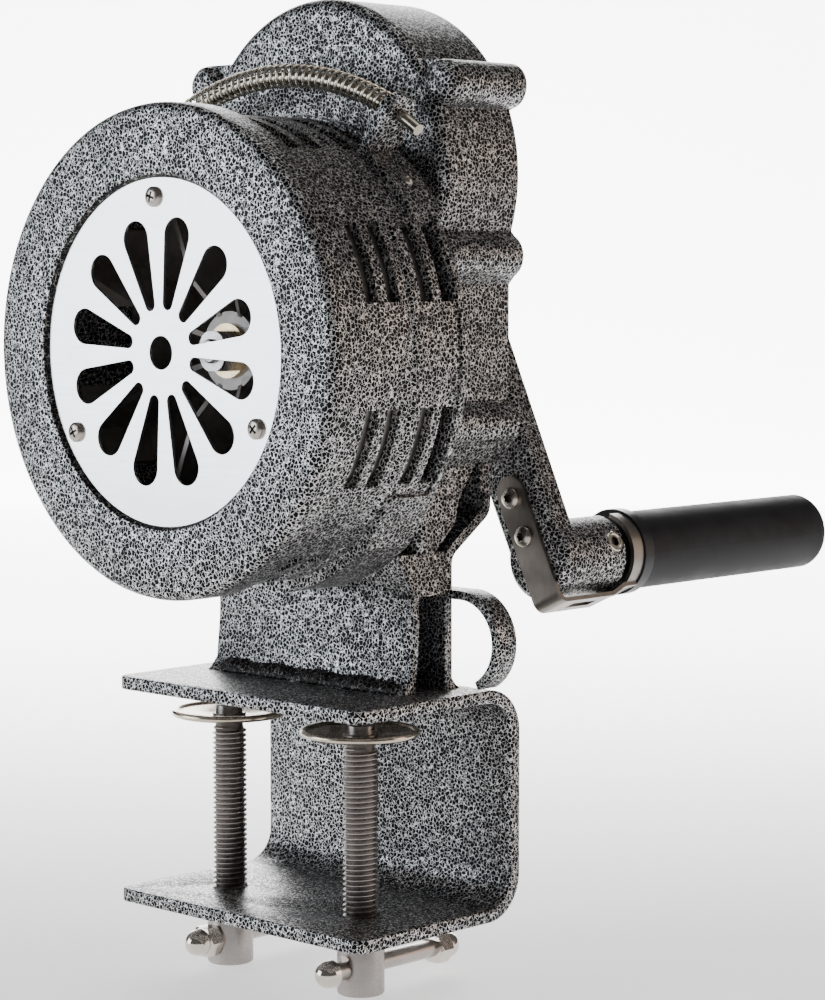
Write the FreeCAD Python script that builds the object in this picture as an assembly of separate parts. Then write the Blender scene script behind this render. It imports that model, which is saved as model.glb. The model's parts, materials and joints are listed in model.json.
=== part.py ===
import FreeCAD, Part
import math
import os

# Hand crank siren for a table edge, in millimetres.
# It is drawn about the rotor's axis: X to the right, Y from the intake grille to the crank, Z up.
# At the end every piece is moved so that the origin is the middle of the upper jaw's underside.

V = FreeCAD.Vector
Y_AXIS = V(0, 1, 0)

# The drum's outside: the round pieces, the foot and the handle follow from it
drum_r = 77.0

# Fits
seat_fit = 0.02          # radial room of a pressed or clamped seat inside one body
run_fit = 0.05           # radial room of a turning or sliding fit
side_gap = 0.3           # room beside a turning piece

# Front flange and grille
flange_r = drum_r + 3.0
flange_front_y = -2.0
flange_back_y = 10.5
flange_edge = 2.6        # rounding of the front's outer edge, made of flats
flange_lip = 1.0
flange_seat_depth = 2.7  # from the flange's front to the grille's back
flange_seat_t = 2.8
flange_step = 5.6        # width of the stop that the drum's front edge meets
grille_r = drum_r - 21.0
flange_inner_r = grille_r - 10.0
grille_t = 1.0
grille_gap = 0.2
grille_hole_r = 5.5
grille_turn = 3.0        # the grille sits a little turned, as the photo shows
petal_count = 12
petal_tip_r = grille_r - 17.8
petal_tip_round = 5.9
petal_root_r = 16.3
petal_root_round = 2.3
grille_screw_count = 3
grille_screw_circle_r = grille_r - 6.0
grille_screw_r = 1.5
grille_screw_head_r = 3.3
grille_screw_head_h = 2.0
grille_screw_len = 4.6

# Drum
drum_wall = 3.0
spigot_r = drum_r - 1.4
spigot_front_y = 5.0
groove_back_y = 11.7
seam_y = 37.2
seam_bevel = 0.9
drum_back_y = 58.0
slot_groups = 8
slot_angle = 20.0
slot_w = 5.6
slot_y = (17.1, 26.8, 41.9, 51.4)
back_plate_t = 3.5
back_plate_r = drum_r + 0.8
back_plate_edge = 1.2
drum_screw_circle_r = 47.0
drum_screw_count = 4
drum_screw_r = 2.0
drum_screw_head_r = 3.8
drum_screw_head_h = 2.2
drum_screw_len = 12.0

# Rotor and its shaft
rotor_gap = 0.8
rotor_wall = 2.0
rotor_front_y = 8.0
rotor_back_y = drum_back_y - 5.0
rotor_disc_t = 2.5
rotor_hub_r = 13.0
rotor_hub_front_y = 30.0
rotor_window_angle = 22.0
rotor_window_front_y = 14.0
vane_t = 1.8
vane_front_y = 22.0
shaft_r = 4.0
rotor_washer_r = 9.0
rotor_washer_t = 1.6
rotor_nut_flat = 13.0
rotor_nut_h = 6.5
shaft_nose = 1.5
bearing_r = 11.0
bearing_w = 7.0
bearing_split_r = 6.2
bearing_cup_wall = 3.5

# Gearbox
box_front_y = drum_back_y + back_plate_t + 8.5
box_depth = 30.0
box_back_y = box_front_y + box_depth
box_wall = 3.0
crank_z = 60.0           # crank shaft above the rotor shaft
box_half = 55.0
box_top_r = box_half + 4.0
box_top_drop = 2.0       # the round top's centre below the crank's axis
box_foot_half = box_half - 7.5
box_foot_z = -36.0
box_waist_z = box_foot_z + 6.0
box_floor_z = box_waist_z
box_end_z = 10.0 - drum_r
box_edge = 4.0
box_legs = ((0.0, 31.0), (4.0, 26.0), (10.5, 17.0), (12.5, 9.0), (22.5, 0.0))  # in from the back, up from the end
ear_r = 7.5
ear_spread = 5.0         # how far an ear's web reaches past it along the flank
ear_side = 0.86          # where a web leaves its ear, as a share of the ear's radius
ear_mid = (box_half - 1.0, crank_z - 29.0)
ear_low = (box_half - 2.5, box_foot_z + 11.0)
ears_right = ((box_half + 0.2, crank_z + 27.2), ear_mid, ear_low)
ears_left = ((box_half + 2.0, crank_z + 30.0), ear_mid, ear_low)
ear_screw_r = 2.0
ear_screw_head_r = 4.2
ear_screw_head_h = 3.2
ear_screw_len = 24.0
plate_t = 2.5            # bearing plate that closes the housing
plate_end_z = box_end_z + 19.0
boss_r = 13.0
boss_h = 4.0
bush_wall = 2.0
shaft_pocket = 2.0       # how far the layshaft's end goes into the housing's wall

# Stand
sheet_t = 3.0
back_sheet_t = 3.5
stand_half = box_foot_half - 0.5
stand_back_y = box_front_y + 15.0  # middle of the rear sheet where it stands on the clamp
joggle_top_z = box_end_z + 12.5
joggle_end_z = box_end_z - 1.0
joggle_top_r = 4.5
joggle_end_r = 7.0
front_sheet_y = box_front_y - 0.5  # middle of the front sheet
front_sheet_lean = 2.0   # how far its lower half leans to the front
front_sheet_bend_r = 60.0
weld_leg = 4.0
weld_hollow = 0.42       # where the bead's hollow passes its corner, as a share of its leg
foot_top_z = box_end_z
foot_edge_z = foot_top_z - 14.0
foot_mid_z = foot_edge_z + 5.0
foot_mid_half = 26.0
foot_skirt = 1.5
foot_draft = 0.5
foot_front_gap = 0.6     # from the front sheet's face to the foot's front edge
foot_bow = 0.56          # how far the foot's front bows out
foot_bridge = 6.0
foot_panel_front_y = drum_back_y - 17.0
foot_panel_r = drum_r + 4.0
foot_panel_edge_r = drum_r + 1.2
foot_panel_half_angle = 54.0
foot_panel_full_angle = 39.0
front_sheet_bend_z = foot_edge_z - 14.0
hook_w = 9.5
hook_t = 3.0
hook_r = 14.3
hook_x = stand_half + 3.4
hook_start_x = 12.0
hook_tip_angle = -62.0

# Table clamp
clamp_half = 58.9
clamp_front_y = 30.0
clamp_back_y = 108.0
clamp_t = 4.5
jaw_z = foot_edge_z - 37.1  # underside of the upper jaw
hook_z = jaw_z + clamp_t + 16.0
throat = 69.9
clamp_bend_r = 13.0      # to the middle of the plate
clamp_corner_r = 5.0
clamp_screw_x = 31.9
clamp_screw_y = 58.4
clamp_screw_r = 6.0
clamp_tip_r = 4.7
clamp_tip_drop = 5.6     # screw end below the jaw
pad_r = 20.0
pad_t = 1.5
pad_rim_drop = 7.2       # pad rim below the jaw
pad_dish = 4.0
pad_floor_r = 8.0
tip_collar_r = 5.8
tip_collar_h = 1.0
head_r = 8.0
head_gap = 0.4
head_len = 21.7
bar_r = 3.0
bar_drop = 13.1          # bar below the lower jaw's underside
bar_free = 43.0          # between the two nuts
nut_flat = 10.0
nut_hex_h = 5.5
nut_dome_h = 6.3
nut_dome_r = 4.6
bar_thread = 7.0

# Carry handle
handle_y = drum_back_y - 3.5
handle_r = 110.0
handle_top_z = drum_r + 13.0
handle_rod_r = 2.0
handle_end_x = 62.0
lug_hole_reach = 9.0     # how far the lug's hole is cut to each side of its middle
lug_angle = 56.0
lug_start_angle = 34.5
lug_w = 15.0
lug_t = 2.5
lug_ear_t = 4.0
lug_head_r = 6.5
lug_rivet_r = 2.2
lug_rivet_h = 1.4
lug_rivet_angle = 44.0
spring_wire = 1.1
spring_mean_r = 3.45
spring_lift = 0.6        # the squeezed coil bows out past the rod's middle line
spring_turns = 33
spring_sides = 5

# Gear train, module 1, stub teeth
gear_module = 1.0
crank_teeth = 90
lay_teeth = 45
pinion_teeth = 15
addendum = 0.85
dedendum = 1.1
tooth_share = 0.41       # tooth thickness as a share of the pitch
crank_gear_y = box_front_y + 14.0
crank_gear_w = 8.0
lay_gear_y = box_front_y + 8.0
lay_gear_w = 4.0
mesh_margin = 0.5        # how far a pinion stands past the gear that it drives
gear_web_t = 3.0
gear_rim = 4.0
gear_hole_r = 8.0
gear_hole_count = 6

# Crank
crank_shaft_r = 6.0
crank_journal_y = box_front_y + box_wall + 0.6
crank_hub_r = 11.0
arm_front_y = box_back_y + plate_t + back_sheet_t + 7.0
arm_t = 12.0
arm_len = 145.0
arm_angle = 25.0
arm_hub_r = 14.0
arm_mid_half = 11.5
arm_edge = 2.0
boss_end_r = 13.5
boss_end_y = arm_front_y + 31.5
boss_flat = 11.8
fork_half = 6.2
fork_floor_y = boss_end_y - 11.0
fork_back = 8.0
fold_pin_y = boss_end_y - 4.0
fold_pin_r = 3.0
fold_pin_head_r = 3.7
fold_pin_head_h = 1.2
tang_half = 6.0
tang_round = 6.5
collar_y = boss_end_y + 9.1
collar_t = 4.9
collar_r = 15.0
grip_r = 13.6
grip_len = 103.5
grip_edge = 1.2
grip_cap_depth = 9.0
grip_cap_r = 8.0
spindle_r = 4.0
end_washer_t = 1.5
end_head_r = 6.0
end_head_h = 4.5
crank_washer_r = 11.0
crank_washer_t = 2.0
crank_nut_flat = 17.0
crank_nut_h = 7.0

# Leaf latch
leaf_w = 12.0
leaf_t = 1.5
leaf_top_s = 114.5       # rounded end, from the crank's axis
leaf_drop = 16.2         # middle of the leaf below the grip's axis
leaf_bend_r = 3.2
leaf_step_y = (boss_end_y - 5.0, boss_end_y + 2.5)
leaf_slot = (arm_front_y + 9.0, arm_front_y + 21.0)
leaf_slot_half = 2.2
catch_y = boss_end_y + 3.5
catch_r = 14.3
catch_t = 1.5
catch_open_angle = 38.0
leaf_screw_s = (122.0, 136.0)
leaf_screw_r = 2.0
leaf_screw_head_r = 3.6
leaf_screw_head_h = 2.2
leaf_screw_len = 9.0

# Places that follow from the sizes above
grille_front_y = flange_front_y + flange_seat_depth - grille_t
rotor_r = drum_r - drum_wall - rotor_gap
plate_back_y = box_back_y + plate_t
box_rear_y = plate_back_y + back_sheet_t
drum_plate_back_y = drum_back_y + back_plate_t
arm_back_y = arm_front_y + arm_t
grip_y = collar_y + collar_t
grip_x = arm_len * math.sin(math.radians(arm_angle))
grip_z = crank_z - arm_len * math.cos(math.radians(arm_angle))
lower_jaw_z = jaw_z - throat
clamp_bottom_z = lower_jaw_z - clamp_t
clamp_top_z = jaw_z + clamp_t
jaw_mid_y = (clamp_front_y + clamp_back_y - clamp_t) / 2
pad_rim_z = jaw_z - pad_rim_drop
pad_floor_z = pad_rim_z - pad_dish + pad_t / 2
tip_z = jaw_z - clamp_tip_drop
bar_z = clamp_bottom_z - bar_drop
crank_mesh = gear_module * (crank_teeth + pinion_teeth) / 2
rotor_mesh = gear_module * (lay_teeth + pinion_teeth) / 2
lay_z = (rotor_mesh ** 2 - crank_mesh ** 2 + crank_z ** 2) / (2 * crank_z)
lay_x = math.sqrt(rotor_mesh ** 2 - lay_z ** 2)
handle_mid_z = handle_top_z - handle_r


# Basic shapes
def tube(outer, inner, y0, y1, x=0.0, z=0.0):
    """A tube along Y, or a rod where inner is 0."""
    body = Part.makeCylinder(outer, y1 - y0, V(x, y0, z), Y_AXIS)
    if inner > 0:
        body = body.cut(Part.makeCylinder(inner, y1 - y0, V(x, y0, z), Y_AXIS))
    return body


def rod(radius, start, end):
    """A round rod between two points."""
    return Part.makeCylinder(radius, (end - start).Length, start, end - start)


def block(x0, x1, y0, y1, z0, z1):
    return Part.makeBox(x1 - x0, y1 - y0, z1 - z0, V(x0, y0, z0))


def spun(profile, x=0.0, z=0.0):
    """Turn a profile of (radius, y) points about an axis along Y."""
    points = [V(x + r, y, z) for r, y in profile]
    face = Part.Face(Part.makePolygon(points + points[:1]))
    return face.revolve(V(x, 0, z), Y_AXIS, 360)


def spun_upright(profile, x, y):
    """Turn a profile of (radius, z) points about an upright axis."""
    points = [V(x + r, y, z) for r, z in profile]
    face = Part.Face(Part.makePolygon(points + points[:1]))
    return face.revolve(V(x, y, 0), V(0, 0, 1), 360)


def joined(shapes):
    """All the shapes as one clean solid."""
    whole = shapes[0].fuse(shapes[1:]) if len(shapes) > 1 else shapes[0]
    return whole.removeSplitter()


def around(shape, count, x=0.0, z=0.0, first=0.0):
    """Copies of a shape, evenly turned about an axis along Y."""
    copies = []
    for i in range(count):
        copy = shape.copy()
        copy.rotate(V(x, 0, z), Y_AXIS, first + 360.0 * i / count)
        copies.append(copy)
    return copies


def mirrored(shape):
    """The other hand of a shape, across the middle plane."""
    return shape.mirror(V(0, 0, 0), V(1, 0, 0))


def polar(radius, degrees):
    """x and z of a point on a circle round the rotor's axis."""
    a = math.radians(degrees)
    return radius * math.cos(a), radius * math.sin(a)


def ring_edges(shape, radius, y):
    """The round edges of one radius at one y."""
    found = []
    for e in shape.Edges:
        if not isinstance(e.Curve, Part.Circle):
            continue
        if abs(e.Curve.Radius - radius) < 0.01 and abs(e.Curve.Center.y - y) < 0.01:
            found.append(e)
    return found


def hexagon(flat, y0, y1, x=0.0, z=0.0):
    """A hexagonal bar along Y, given across its flats."""
    r = flat / math.sqrt(3)
    points = [V(x + r * math.cos(i * math.pi / 3), y0, z + r * math.sin(i * math.pi / 3)) for i in range(7)]
    return Part.Face(Part.makePolygon(points)).extrude(V(0, y1 - y0, 0))


def rounded(corner, size, way_r, way_y, flats=2):
    """Profile points that round a corner with a few flats, from its flank to its face.

    corner is (radius, y); way_r and way_y point from the corner into the material.
    """
    r, y = corner
    turns = [math.pi / 2 * i / flats for i in range(flats + 1)]
    return [(r + way_r * size * (1 - math.cos(a)), y + way_y * size * (1 - math.sin(a))) for a in turns]


def pan_screw(head_r, head_h, shank_r, length, y, x, z, toward=1):
    """A pan head whose underside is at y, with its shank running the way of toward."""
    edge = head_h * 0.45
    profile = [
        (0, -head_h), (head_r - edge, -head_h), (head_r, -head_h + edge), (head_r, 0),
        (shank_r, 0), (shank_r, length), (0, length),
    ]
    return spun([(r, y + toward * d) for r, d in profile], x, z)


def unit(a, b):
    d = b - a
    return d / d.Length


def ribbon(points, radii, thickness):
    """The outline of a bent sheet: straight runs joined by bends, drawn through its middle.

    points are in one plane, and radii holds one middle radius for each inner point.
    """
    normal = None
    for i in range(1, len(points) - 1):
        cross = unit(points[i - 1], points[i]).cross(unit(points[i], points[i + 1]))
        if cross.Length > 1e-6:
            normal = cross / cross.Length
            break
    half = thickness / 2
    sides = {1: [], -1: []}
    for s in sides:
        last = points[0] + normal.cross(unit(points[0], points[1])) * half * s
        for i in range(1, len(points) - 1):
            d_in, d_out = unit(points[i - 1], points[i]), unit(points[i], points[i + 1])
            turn = math.atan2(d_in.cross(d_out).dot(normal), d_in.dot(d_out))
            left_in, left_out = normal.cross(d_in), normal.cross(d_out)
            reach = radii[i - 1] * math.tan(abs(turn) / 2)
            hand = 1 if turn > 0 else -1
            start = points[i] - d_in * reach
            centre = start + left_in * hand * radii[i - 1]
            middle = (left_in + left_out)
            middle = middle / middle.Length * -hand
            r = radii[i - 1] - hand * s * half
            a = start + left_in * half * s
            b = points[i] + d_out * reach + left_out * half * s
            sides[s].append(Part.LineSegment(last, a).toShape())
            sides[s].append(Part.Arc(a, centre + middle * r, b).toShape())
            last = b
        end = points[-1] + normal.cross(unit(points[-2], points[-1])) * half * s
        sides[s].append(Part.LineSegment(last, end).toShape())
    caps = []
    for a, b in ((points[0], points[1]), (points[-1], points[-2])):
        across = normal.cross(unit(a, b)) * half
        caps.append(Part.LineSegment(a - across, a + across).toShape())
    edges = Part.sortEdges(sides[1] + sides[-1] + caps)[0]
    return Part.Face(Part.Wire(edges))


# Front of the drum
def front_flange_ring():
    seat_y = flange_front_y + flange_seat_depth
    lip_r = grille_r + grille_gap
    profile = [
        (flange_r, flange_back_y), (spigot_r + seat_fit, flange_back_y), (spigot_r + seat_fit, spigot_front_y),
        (spigot_r - flange_step, spigot_front_y), (grille_r + flange_seat_t, seat_y + flange_seat_t),
        (flange_inner_r, seat_y + flange_seat_t), (flange_inner_r, seat_y), (lip_r, seat_y),
        (lip_r, flange_front_y + flange_lip), (lip_r + flange_lip, flange_front_y),
    ]
    body = spun(profile + rounded((flange_r, flange_front_y), flange_edge, -1, 1, 3)[::-1])
    for x, z in grille_screw_places():
        body = body.cut(tube(grille_screw_r + seat_fit, 0, seat_y, seat_y + flange_seat_t, x, z))
    return body


def grille_screw_places():
    step = 360.0 / grille_screw_count
    return [polar(grille_screw_circle_r, 90 + grille_turn + i * step) for i in range(grille_screw_count)]


def petal():
    """A drop-shaped hole pointing at the grille's centre, cut through its sheet."""
    gap = petal_tip_r - petal_root_r
    lean = math.asin((petal_tip_round - petal_root_round) / gap)
    outer = [V(petal_tip_round * math.cos(lean) * s, 0, petal_tip_r - petal_tip_round * math.sin(lean))
             for s in (1, -1)]
    inner = [V(petal_root_round * math.cos(lean) * s, 0, petal_root_r - petal_root_round * math.sin(lean))
             for s in (1, -1)]
    wire = Part.Wire([
        Part.Arc(outer[0], V(0, 0, petal_tip_r + petal_tip_round), outer[1]).toShape(),
        Part.LineSegment(outer[1], inner[1]).toShape(),
        Part.Arc(inner[1], V(0, 0, petal_root_r - petal_root_round), inner[0]).toShape(),
        Part.LineSegment(inner[0], outer[0]).toShape(),
    ])
    face = Part.Face(wire)
    face.translate(V(0, grille_front_y - 1, 0))
    return face.extrude(V(0, grille_t + 2, 0))


def grille_plate():
    y1 = grille_front_y + grille_t
    plate = tube(grille_r, grille_hole_r, grille_front_y, y1)
    cuts = around(petal(), petal_count, first=180.0 / petal_count - grille_turn)
    cuts += [tube(grille_screw_r + side_gap, 0, grille_front_y, y1, x, z) for x, z in grille_screw_places()]
    return plate.cut(cuts)


def grille_screws():
    return [pan_screw(grille_screw_head_r, grille_screw_head_h, grille_screw_r, grille_screw_len,
                      grille_front_y, x, z) for x, z in grille_screw_places()]


# Drum
def slot_cut(y, degrees):
    """One sound slot: a sector that cuts the drum's wall."""
    half = slot_angle / 2
    reach = drum_r + drum_wall
    a, b = polar(reach, degrees - half), polar(reach, degrees + half)
    m = polar(reach, degrees)
    wire = Part.Wire([
        Part.LineSegment(V(0, y, 0), V(a[0], y, a[1])).toShape(),
        Part.Arc(V(a[0], y, a[1]), V(m[0], y, m[1]), V(b[0], y, b[1])).toShape(),
        Part.LineSegment(V(b[0], y, b[1]), V(0, y, 0)).toShape(),
    ])
    return Part.Face(wire).extrude(V(0, slot_w, 0))


def group_angles():
    return [(i + 0.5) * 360.0 / slot_groups for i in range(slot_groups)]


def over_foot(degrees):
    """Is this group of slots where the foot covers the drum?"""
    return abs((degrees - 270 + 180) % 360 - 180) < foot_panel_half_angle


def drum_front_half():
    inner = drum_r - drum_wall
    shell = spun([
        (inner, spigot_front_y), (spigot_r, spigot_front_y), (spigot_r, groove_back_y), (drum_r, groove_back_y),
        (drum_r, seam_y - seam_bevel), (drum_r - seam_bevel, seam_y), (inner, seam_y),
    ])
    return shell.cut([slot_cut(y, a) for y in slot_y[:2] for a in group_angles()])


def drum_rear_half():
    inner = drum_r - drum_wall
    shell = spun([
        (inner, seam_y), (drum_r - seam_bevel, seam_y), (drum_r, seam_y + seam_bevel),
        (drum_r, drum_back_y), (inner, drum_back_y),
    ])
    return shell.cut([slot_cut(y, a) for y in slot_y[2:] for a in group_angles() if not over_foot(a)])


def drum_screw_places():
    return [polar(drum_screw_circle_r, 45 + 360.0 * i / drum_screw_count) for i in range(drum_screw_count)]


def drum_back_plate():
    """The drum's rear wall, with the cup of the rotor's front bearing."""
    cup_r = bearing_r + bearing_cup_wall
    cup_back = drum_back_y + 1 + bearing_w
    rim = rounded((back_plate_r, drum_plate_back_y), back_plate_edge, -1, -1)
    plate = spun([(0, drum_back_y), (back_plate_r, drum_back_y)] + rim + [
        (cup_r, drum_plate_back_y), (cup_r, cup_back), (0, cup_back)])
    plate = plate.cut(tube(bearing_r + seat_fit, 0, drum_back_y + 1, cup_back))
    plate = plate.cut(tube(bearing_split_r + 1, 0, drum_back_y, cup_back))
    holes = [tube(drum_screw_r + seat_fit, 0, drum_back_y, drum_plate_back_y, x, z) for x, z in drum_screw_places()]
    return plate.cut(holes).removeSplitter()


def drum_screws():
    return [pan_screw(drum_screw_head_r, drum_screw_head_h, drum_screw_r, drum_screw_len, drum_back_y, x, z)
            for x, z in drum_screw_places()]


# Rotor
def rotor():
    """The chopper: a drum with windows and vanes that fling the air out through them."""
    inner = rotor_r - rotor_wall
    disc_front = rotor_back_y - rotor_disc_t
    shell = spun([
        (shaft_r + seat_fit, rotor_hub_front_y), (rotor_hub_r, rotor_hub_front_y), (rotor_hub_r, disc_front),
        (inner, disc_front), (inner, rotor_front_y), (rotor_r, rotor_front_y), (rotor_r, rotor_back_y),
        (shaft_r + seat_fit, rotor_back_y),
    ])
    vane = Part.makePolygon([
        V(-vane_t / 2, vane_front_y + 8, rotor_hub_r - 1), V(-vane_t / 2, vane_front_y, rotor_hub_r + 12),
        V(-vane_t / 2, vane_front_y, inner + 0.5), V(-vane_t / 2, disc_front + 0.5, inner + 0.5),
        V(-vane_t / 2, disc_front + 0.5, rotor_hub_r - 1), V(-vane_t / 2, vane_front_y + 8, rotor_hub_r - 1),
    ])
    vane = Part.Face(vane).extrude(V(vane_t, 0, 0))
    body = joined([shell] + around(vane, slot_groups, first=180.0 / slot_groups))
    windows = []
    for i in range(slot_groups):
        half, centre = rotor_window_angle / 2, 360.0 * i / slot_groups
        a, b = polar(rotor_r + 2 * rotor_wall, centre - half), polar(rotor_r + 2 * rotor_wall, centre + half)
        c, d = polar(inner - rotor_wall, centre + half), polar(inner - rotor_wall, centre - half)
        points = [V(p[0], rotor_window_front_y, p[1]) for p in (a, b, c, d, a)]
        windows.append(Part.Face(Part.makePolygon(points)).extrude(V(0, disc_front - rotor_window_front_y, 0)))
    return body.cut(windows)


def rotor_shaft():
    nose = rotor_hub_front_y - rotor_washer_t - rotor_nut_h - shaft_nose
    shaft = tube(shaft_r, 0, nose, box_back_y - 0.5)
    return shaft.makeChamfer(0.6, ring_edges(shaft, shaft_r, nose))


def rotor_washer():
    return tube(rotor_washer_r, shaft_r + seat_fit, rotor_hub_front_y - rotor_washer_t, rotor_hub_front_y)


def rotor_nut():
    back = rotor_hub_front_y - rotor_washer_t
    nut = hexagon(rotor_nut_flat, back - rotor_nut_h, back)
    cone = rotor_nut_flat / 2 * 1.04
    dome = spun([(0, back - rotor_nut_h), (cone, back - rotor_nut_h), (cone * 1.15, back - rotor_nut_h + 1),
                 (cone * 1.15, back), (0, back)])
    return nut.common(dome).cut(tube(shaft_r + seat_fit, 0, back - rotor_nut_h, back))


def bearing_fronts():
    """Front faces of the rotor's two bearings."""
    return drum_back_y + 1, box_back_y - 1 - bearing_w


def bearing_outer_rings():
    return [tube(bearing_r, bearing_split_r, y, y + bearing_w) for y in bearing_fronts()]


def bearing_inner_rings():
    return [tube(bearing_split_r - run_fit, shaft_r + seat_fit, y, y + bearing_w) for y in bearing_fronts()]


# Gears
def gear(teeth, bore, y0, y1, x, z, tooth_up=True):
    """A spur gear with straight-sided stub teeth, a tooth or a gap pointing up."""
    pitch_r = gear_module * teeth / 2
    tip, root = pitch_r + addendum * gear_module, pitch_r - dedendum * gear_module
    thick = math.pi * gear_module * tooth_share / 2
    slope = math.tan(math.radians(20))
    spread = [(root, thick + dedendum * gear_module * slope), (tip, thick - addendum * gear_module * slope)]
    step = 2 * math.pi / teeth
    edges = []
    for i in range(teeth):
        middle = math.pi / 2 + (i if tooth_up else i + 0.5) * step
        angles = [-spread[0][1] / root, -spread[1][1] / tip, spread[1][1] / tip, spread[0][1] / root]
        radii = [root, tip, tip, root]
        points = [V(x + r * math.cos(middle + a), y0, z + r * math.sin(middle + a)) for r, a in zip(radii, angles)]
        if edges:
            edges.append(Part.LineSegment(last, points[0]).toShape())
        else:
            first = points[0]
        edges += [Part.LineSegment(a, b).toShape() for a, b in zip(points, points[1:])]
        last = points[-1]
    edges.append(Part.LineSegment(last, first).toShape())
    blank = Part.Face(Part.Wire(edges)).extrude(V(0, y1 - y0, 0))
    return blank.cut(tube(bore, 0, y0, y1, x, z))


def webbed(wheel, hub_r, root, web_t, y0, y1, x, z):
    """Thin the wheel between its hub and rim."""
    rim = root - gear_rim
    middle = (y0 + y1) / 2
    sides = [tube(rim, hub_r, a, b, x, z) for a, b in ((y0, middle - web_t / 2), (middle + web_t / 2, y1))]
    return wheel.cut(sides)


def turned(shape, x, z, degrees):
    copy = shape.copy()
    copy.rotate(V(x, 0, z), Y_AXIS, degrees)
    return copy


def crank_gear():
    root = gear_module * (crank_teeth / 2 - dedendum)
    y1 = crank_gear_y + crank_gear_w
    wheel = gear(crank_teeth, crank_shaft_r + seat_fit, crank_gear_y, y1, 0, crank_z)
    wheel = webbed(wheel, crank_hub_r, root, gear_web_t, crank_gear_y, y1, 0, crank_z)
    middle_r = (root - gear_rim + crank_hub_r) / 2
    hole = tube(gear_hole_r, 0, crank_gear_y, y1, middle_r, crank_z)
    return wheel.cut(around(hole, gear_hole_count, 0, crank_z))


def mesh_turn(teeth_a, teeth_b, dx, dz):
    """How far to turn wheel b, in degrees about +Y, so that its gap meets wheel a's tooth.

    Wheel a has a tooth pointing up, and b is at (dx, dz) from a. Both start with a tooth up.
    """
    to_b = math.degrees(math.atan2(dx, dz))
    offset_a = (to_b / (360.0 / teeth_a)) % 1
    to_a = to_b + 180
    offset_b = (to_a / (360.0 / teeth_b)) % 1
    return (offset_b + offset_a - 0.5) * 360.0 / teeth_b


def lay_turn():
    return mesh_turn(crank_teeth, pinion_teeth, lay_x, lay_z - crank_z)


def rotor_pinion_turn():
    step = 360.0 / lay_teeth
    to_b = math.degrees(math.atan2(-lay_x, -lay_z)) - lay_turn()
    offset_a = (to_b / step) % 1
    to_a = math.degrees(math.atan2(-lay_x, -lay_z)) + 180
    offset_b = (to_a / (360.0 / pinion_teeth)) % 1
    return (offset_b + offset_a - 0.5) * 360.0 / pinion_teeth


def lay_pinion():
    y0, y1 = crank_gear_y - mesh_margin, crank_gear_y + crank_gear_w + mesh_margin
    wheel = gear(pinion_teeth, shaft_r + seat_fit, y0, y1, lay_x, lay_z)
    wheel = turned(wheel, lay_x, lay_z, lay_turn())
    hub_r = gear_module * (pinion_teeth / 2 - dedendum) - 0.2
    return joined([wheel, tube(hub_r, shaft_r + seat_fit, lay_gear_y + lay_gear_w, y0, lay_x, lay_z)])


def lay_gear():
    y1 = lay_gear_y + lay_gear_w
    root = gear_module * (lay_teeth / 2 - dedendum)
    wheel = gear(lay_teeth, shaft_r + seat_fit, lay_gear_y, y1, lay_x, lay_z)
    wheel = webbed(wheel, bearing_split_r + 1, root, lay_gear_w / 2, lay_gear_y, y1, lay_x, lay_z)
    return turned(wheel, lay_x, lay_z, lay_turn())


def rotor_pinion():
    y0, y1 = lay_gear_y - mesh_margin, lay_gear_y + lay_gear_w + mesh_margin
    wheel = gear(pinion_teeth, shaft_r + seat_fit, y0, y1, 0, 0)
    return turned(wheel, 0, 0, rotor_pinion_turn())


def layshaft():
    return tube(shaft_r, 0, box_front_y + box_wall - shaft_pocket, box_back_y, lay_x, lay_z)


def lay_bushes():
    front = (box_front_y + box_wall, lay_gear_y - side_gap)
    pinion_back = crank_gear_y + crank_gear_w + mesh_margin
    rear = (pinion_back + side_gap, box_back_y)
    return [tube(shaft_r + bush_wall, shaft_r + run_fit, y0, y1, lay_x, lay_z) for y0, y1 in (front, rear)]


# Gearbox
def box_outline(y, floor_z, inset=0.0):
    """The housing's outline: a round top about the crank, straight flanks and a narrower foot."""
    r, centre_z = box_top_r - inset, crank_z - box_top_drop
    half, foot = box_half - inset, box_foot_half - inset
    top_z = centre_z - math.sqrt(r ** 2 - half ** 2)
    waist = max(box_waist_z, floor_z + 1)
    narrow = max(box_foot_z, floor_z)
    right = [V(half, y, top_z), V(half, y, waist)]
    if floor_z < box_foot_z:
        right += [V(foot, y, narrow - 3), V(foot, y, floor_z)]
    else:
        right += [V(half - 1, y, floor_z)]
    left = [V(-p.x, y, p.z) for p in reversed(right)]
    edges = [Part.LineSegment(a, b).toShape() for a, b in zip(right + left, (right + left)[1:])]
    edges.append(Part.Arc(left[-1], V(0, y, centre_z + r), right[0]).toShape())
    return Part.Face(Part.Wire(edges))


def ear_places():
    return list(ears_right) + [(-x, z) for x, z in ears_left]


def ear_posts(y0, y1):
    """The round part of every screw ear, with its front rounded off."""
    profile = [(0, y0)] + rounded((ear_r, y0), box_edge, -1, 1, 3)[::-1] + [(ear_r, y1), (0, y1)]
    return [spun(profile, x, z) for x, z in ear_places()]


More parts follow.
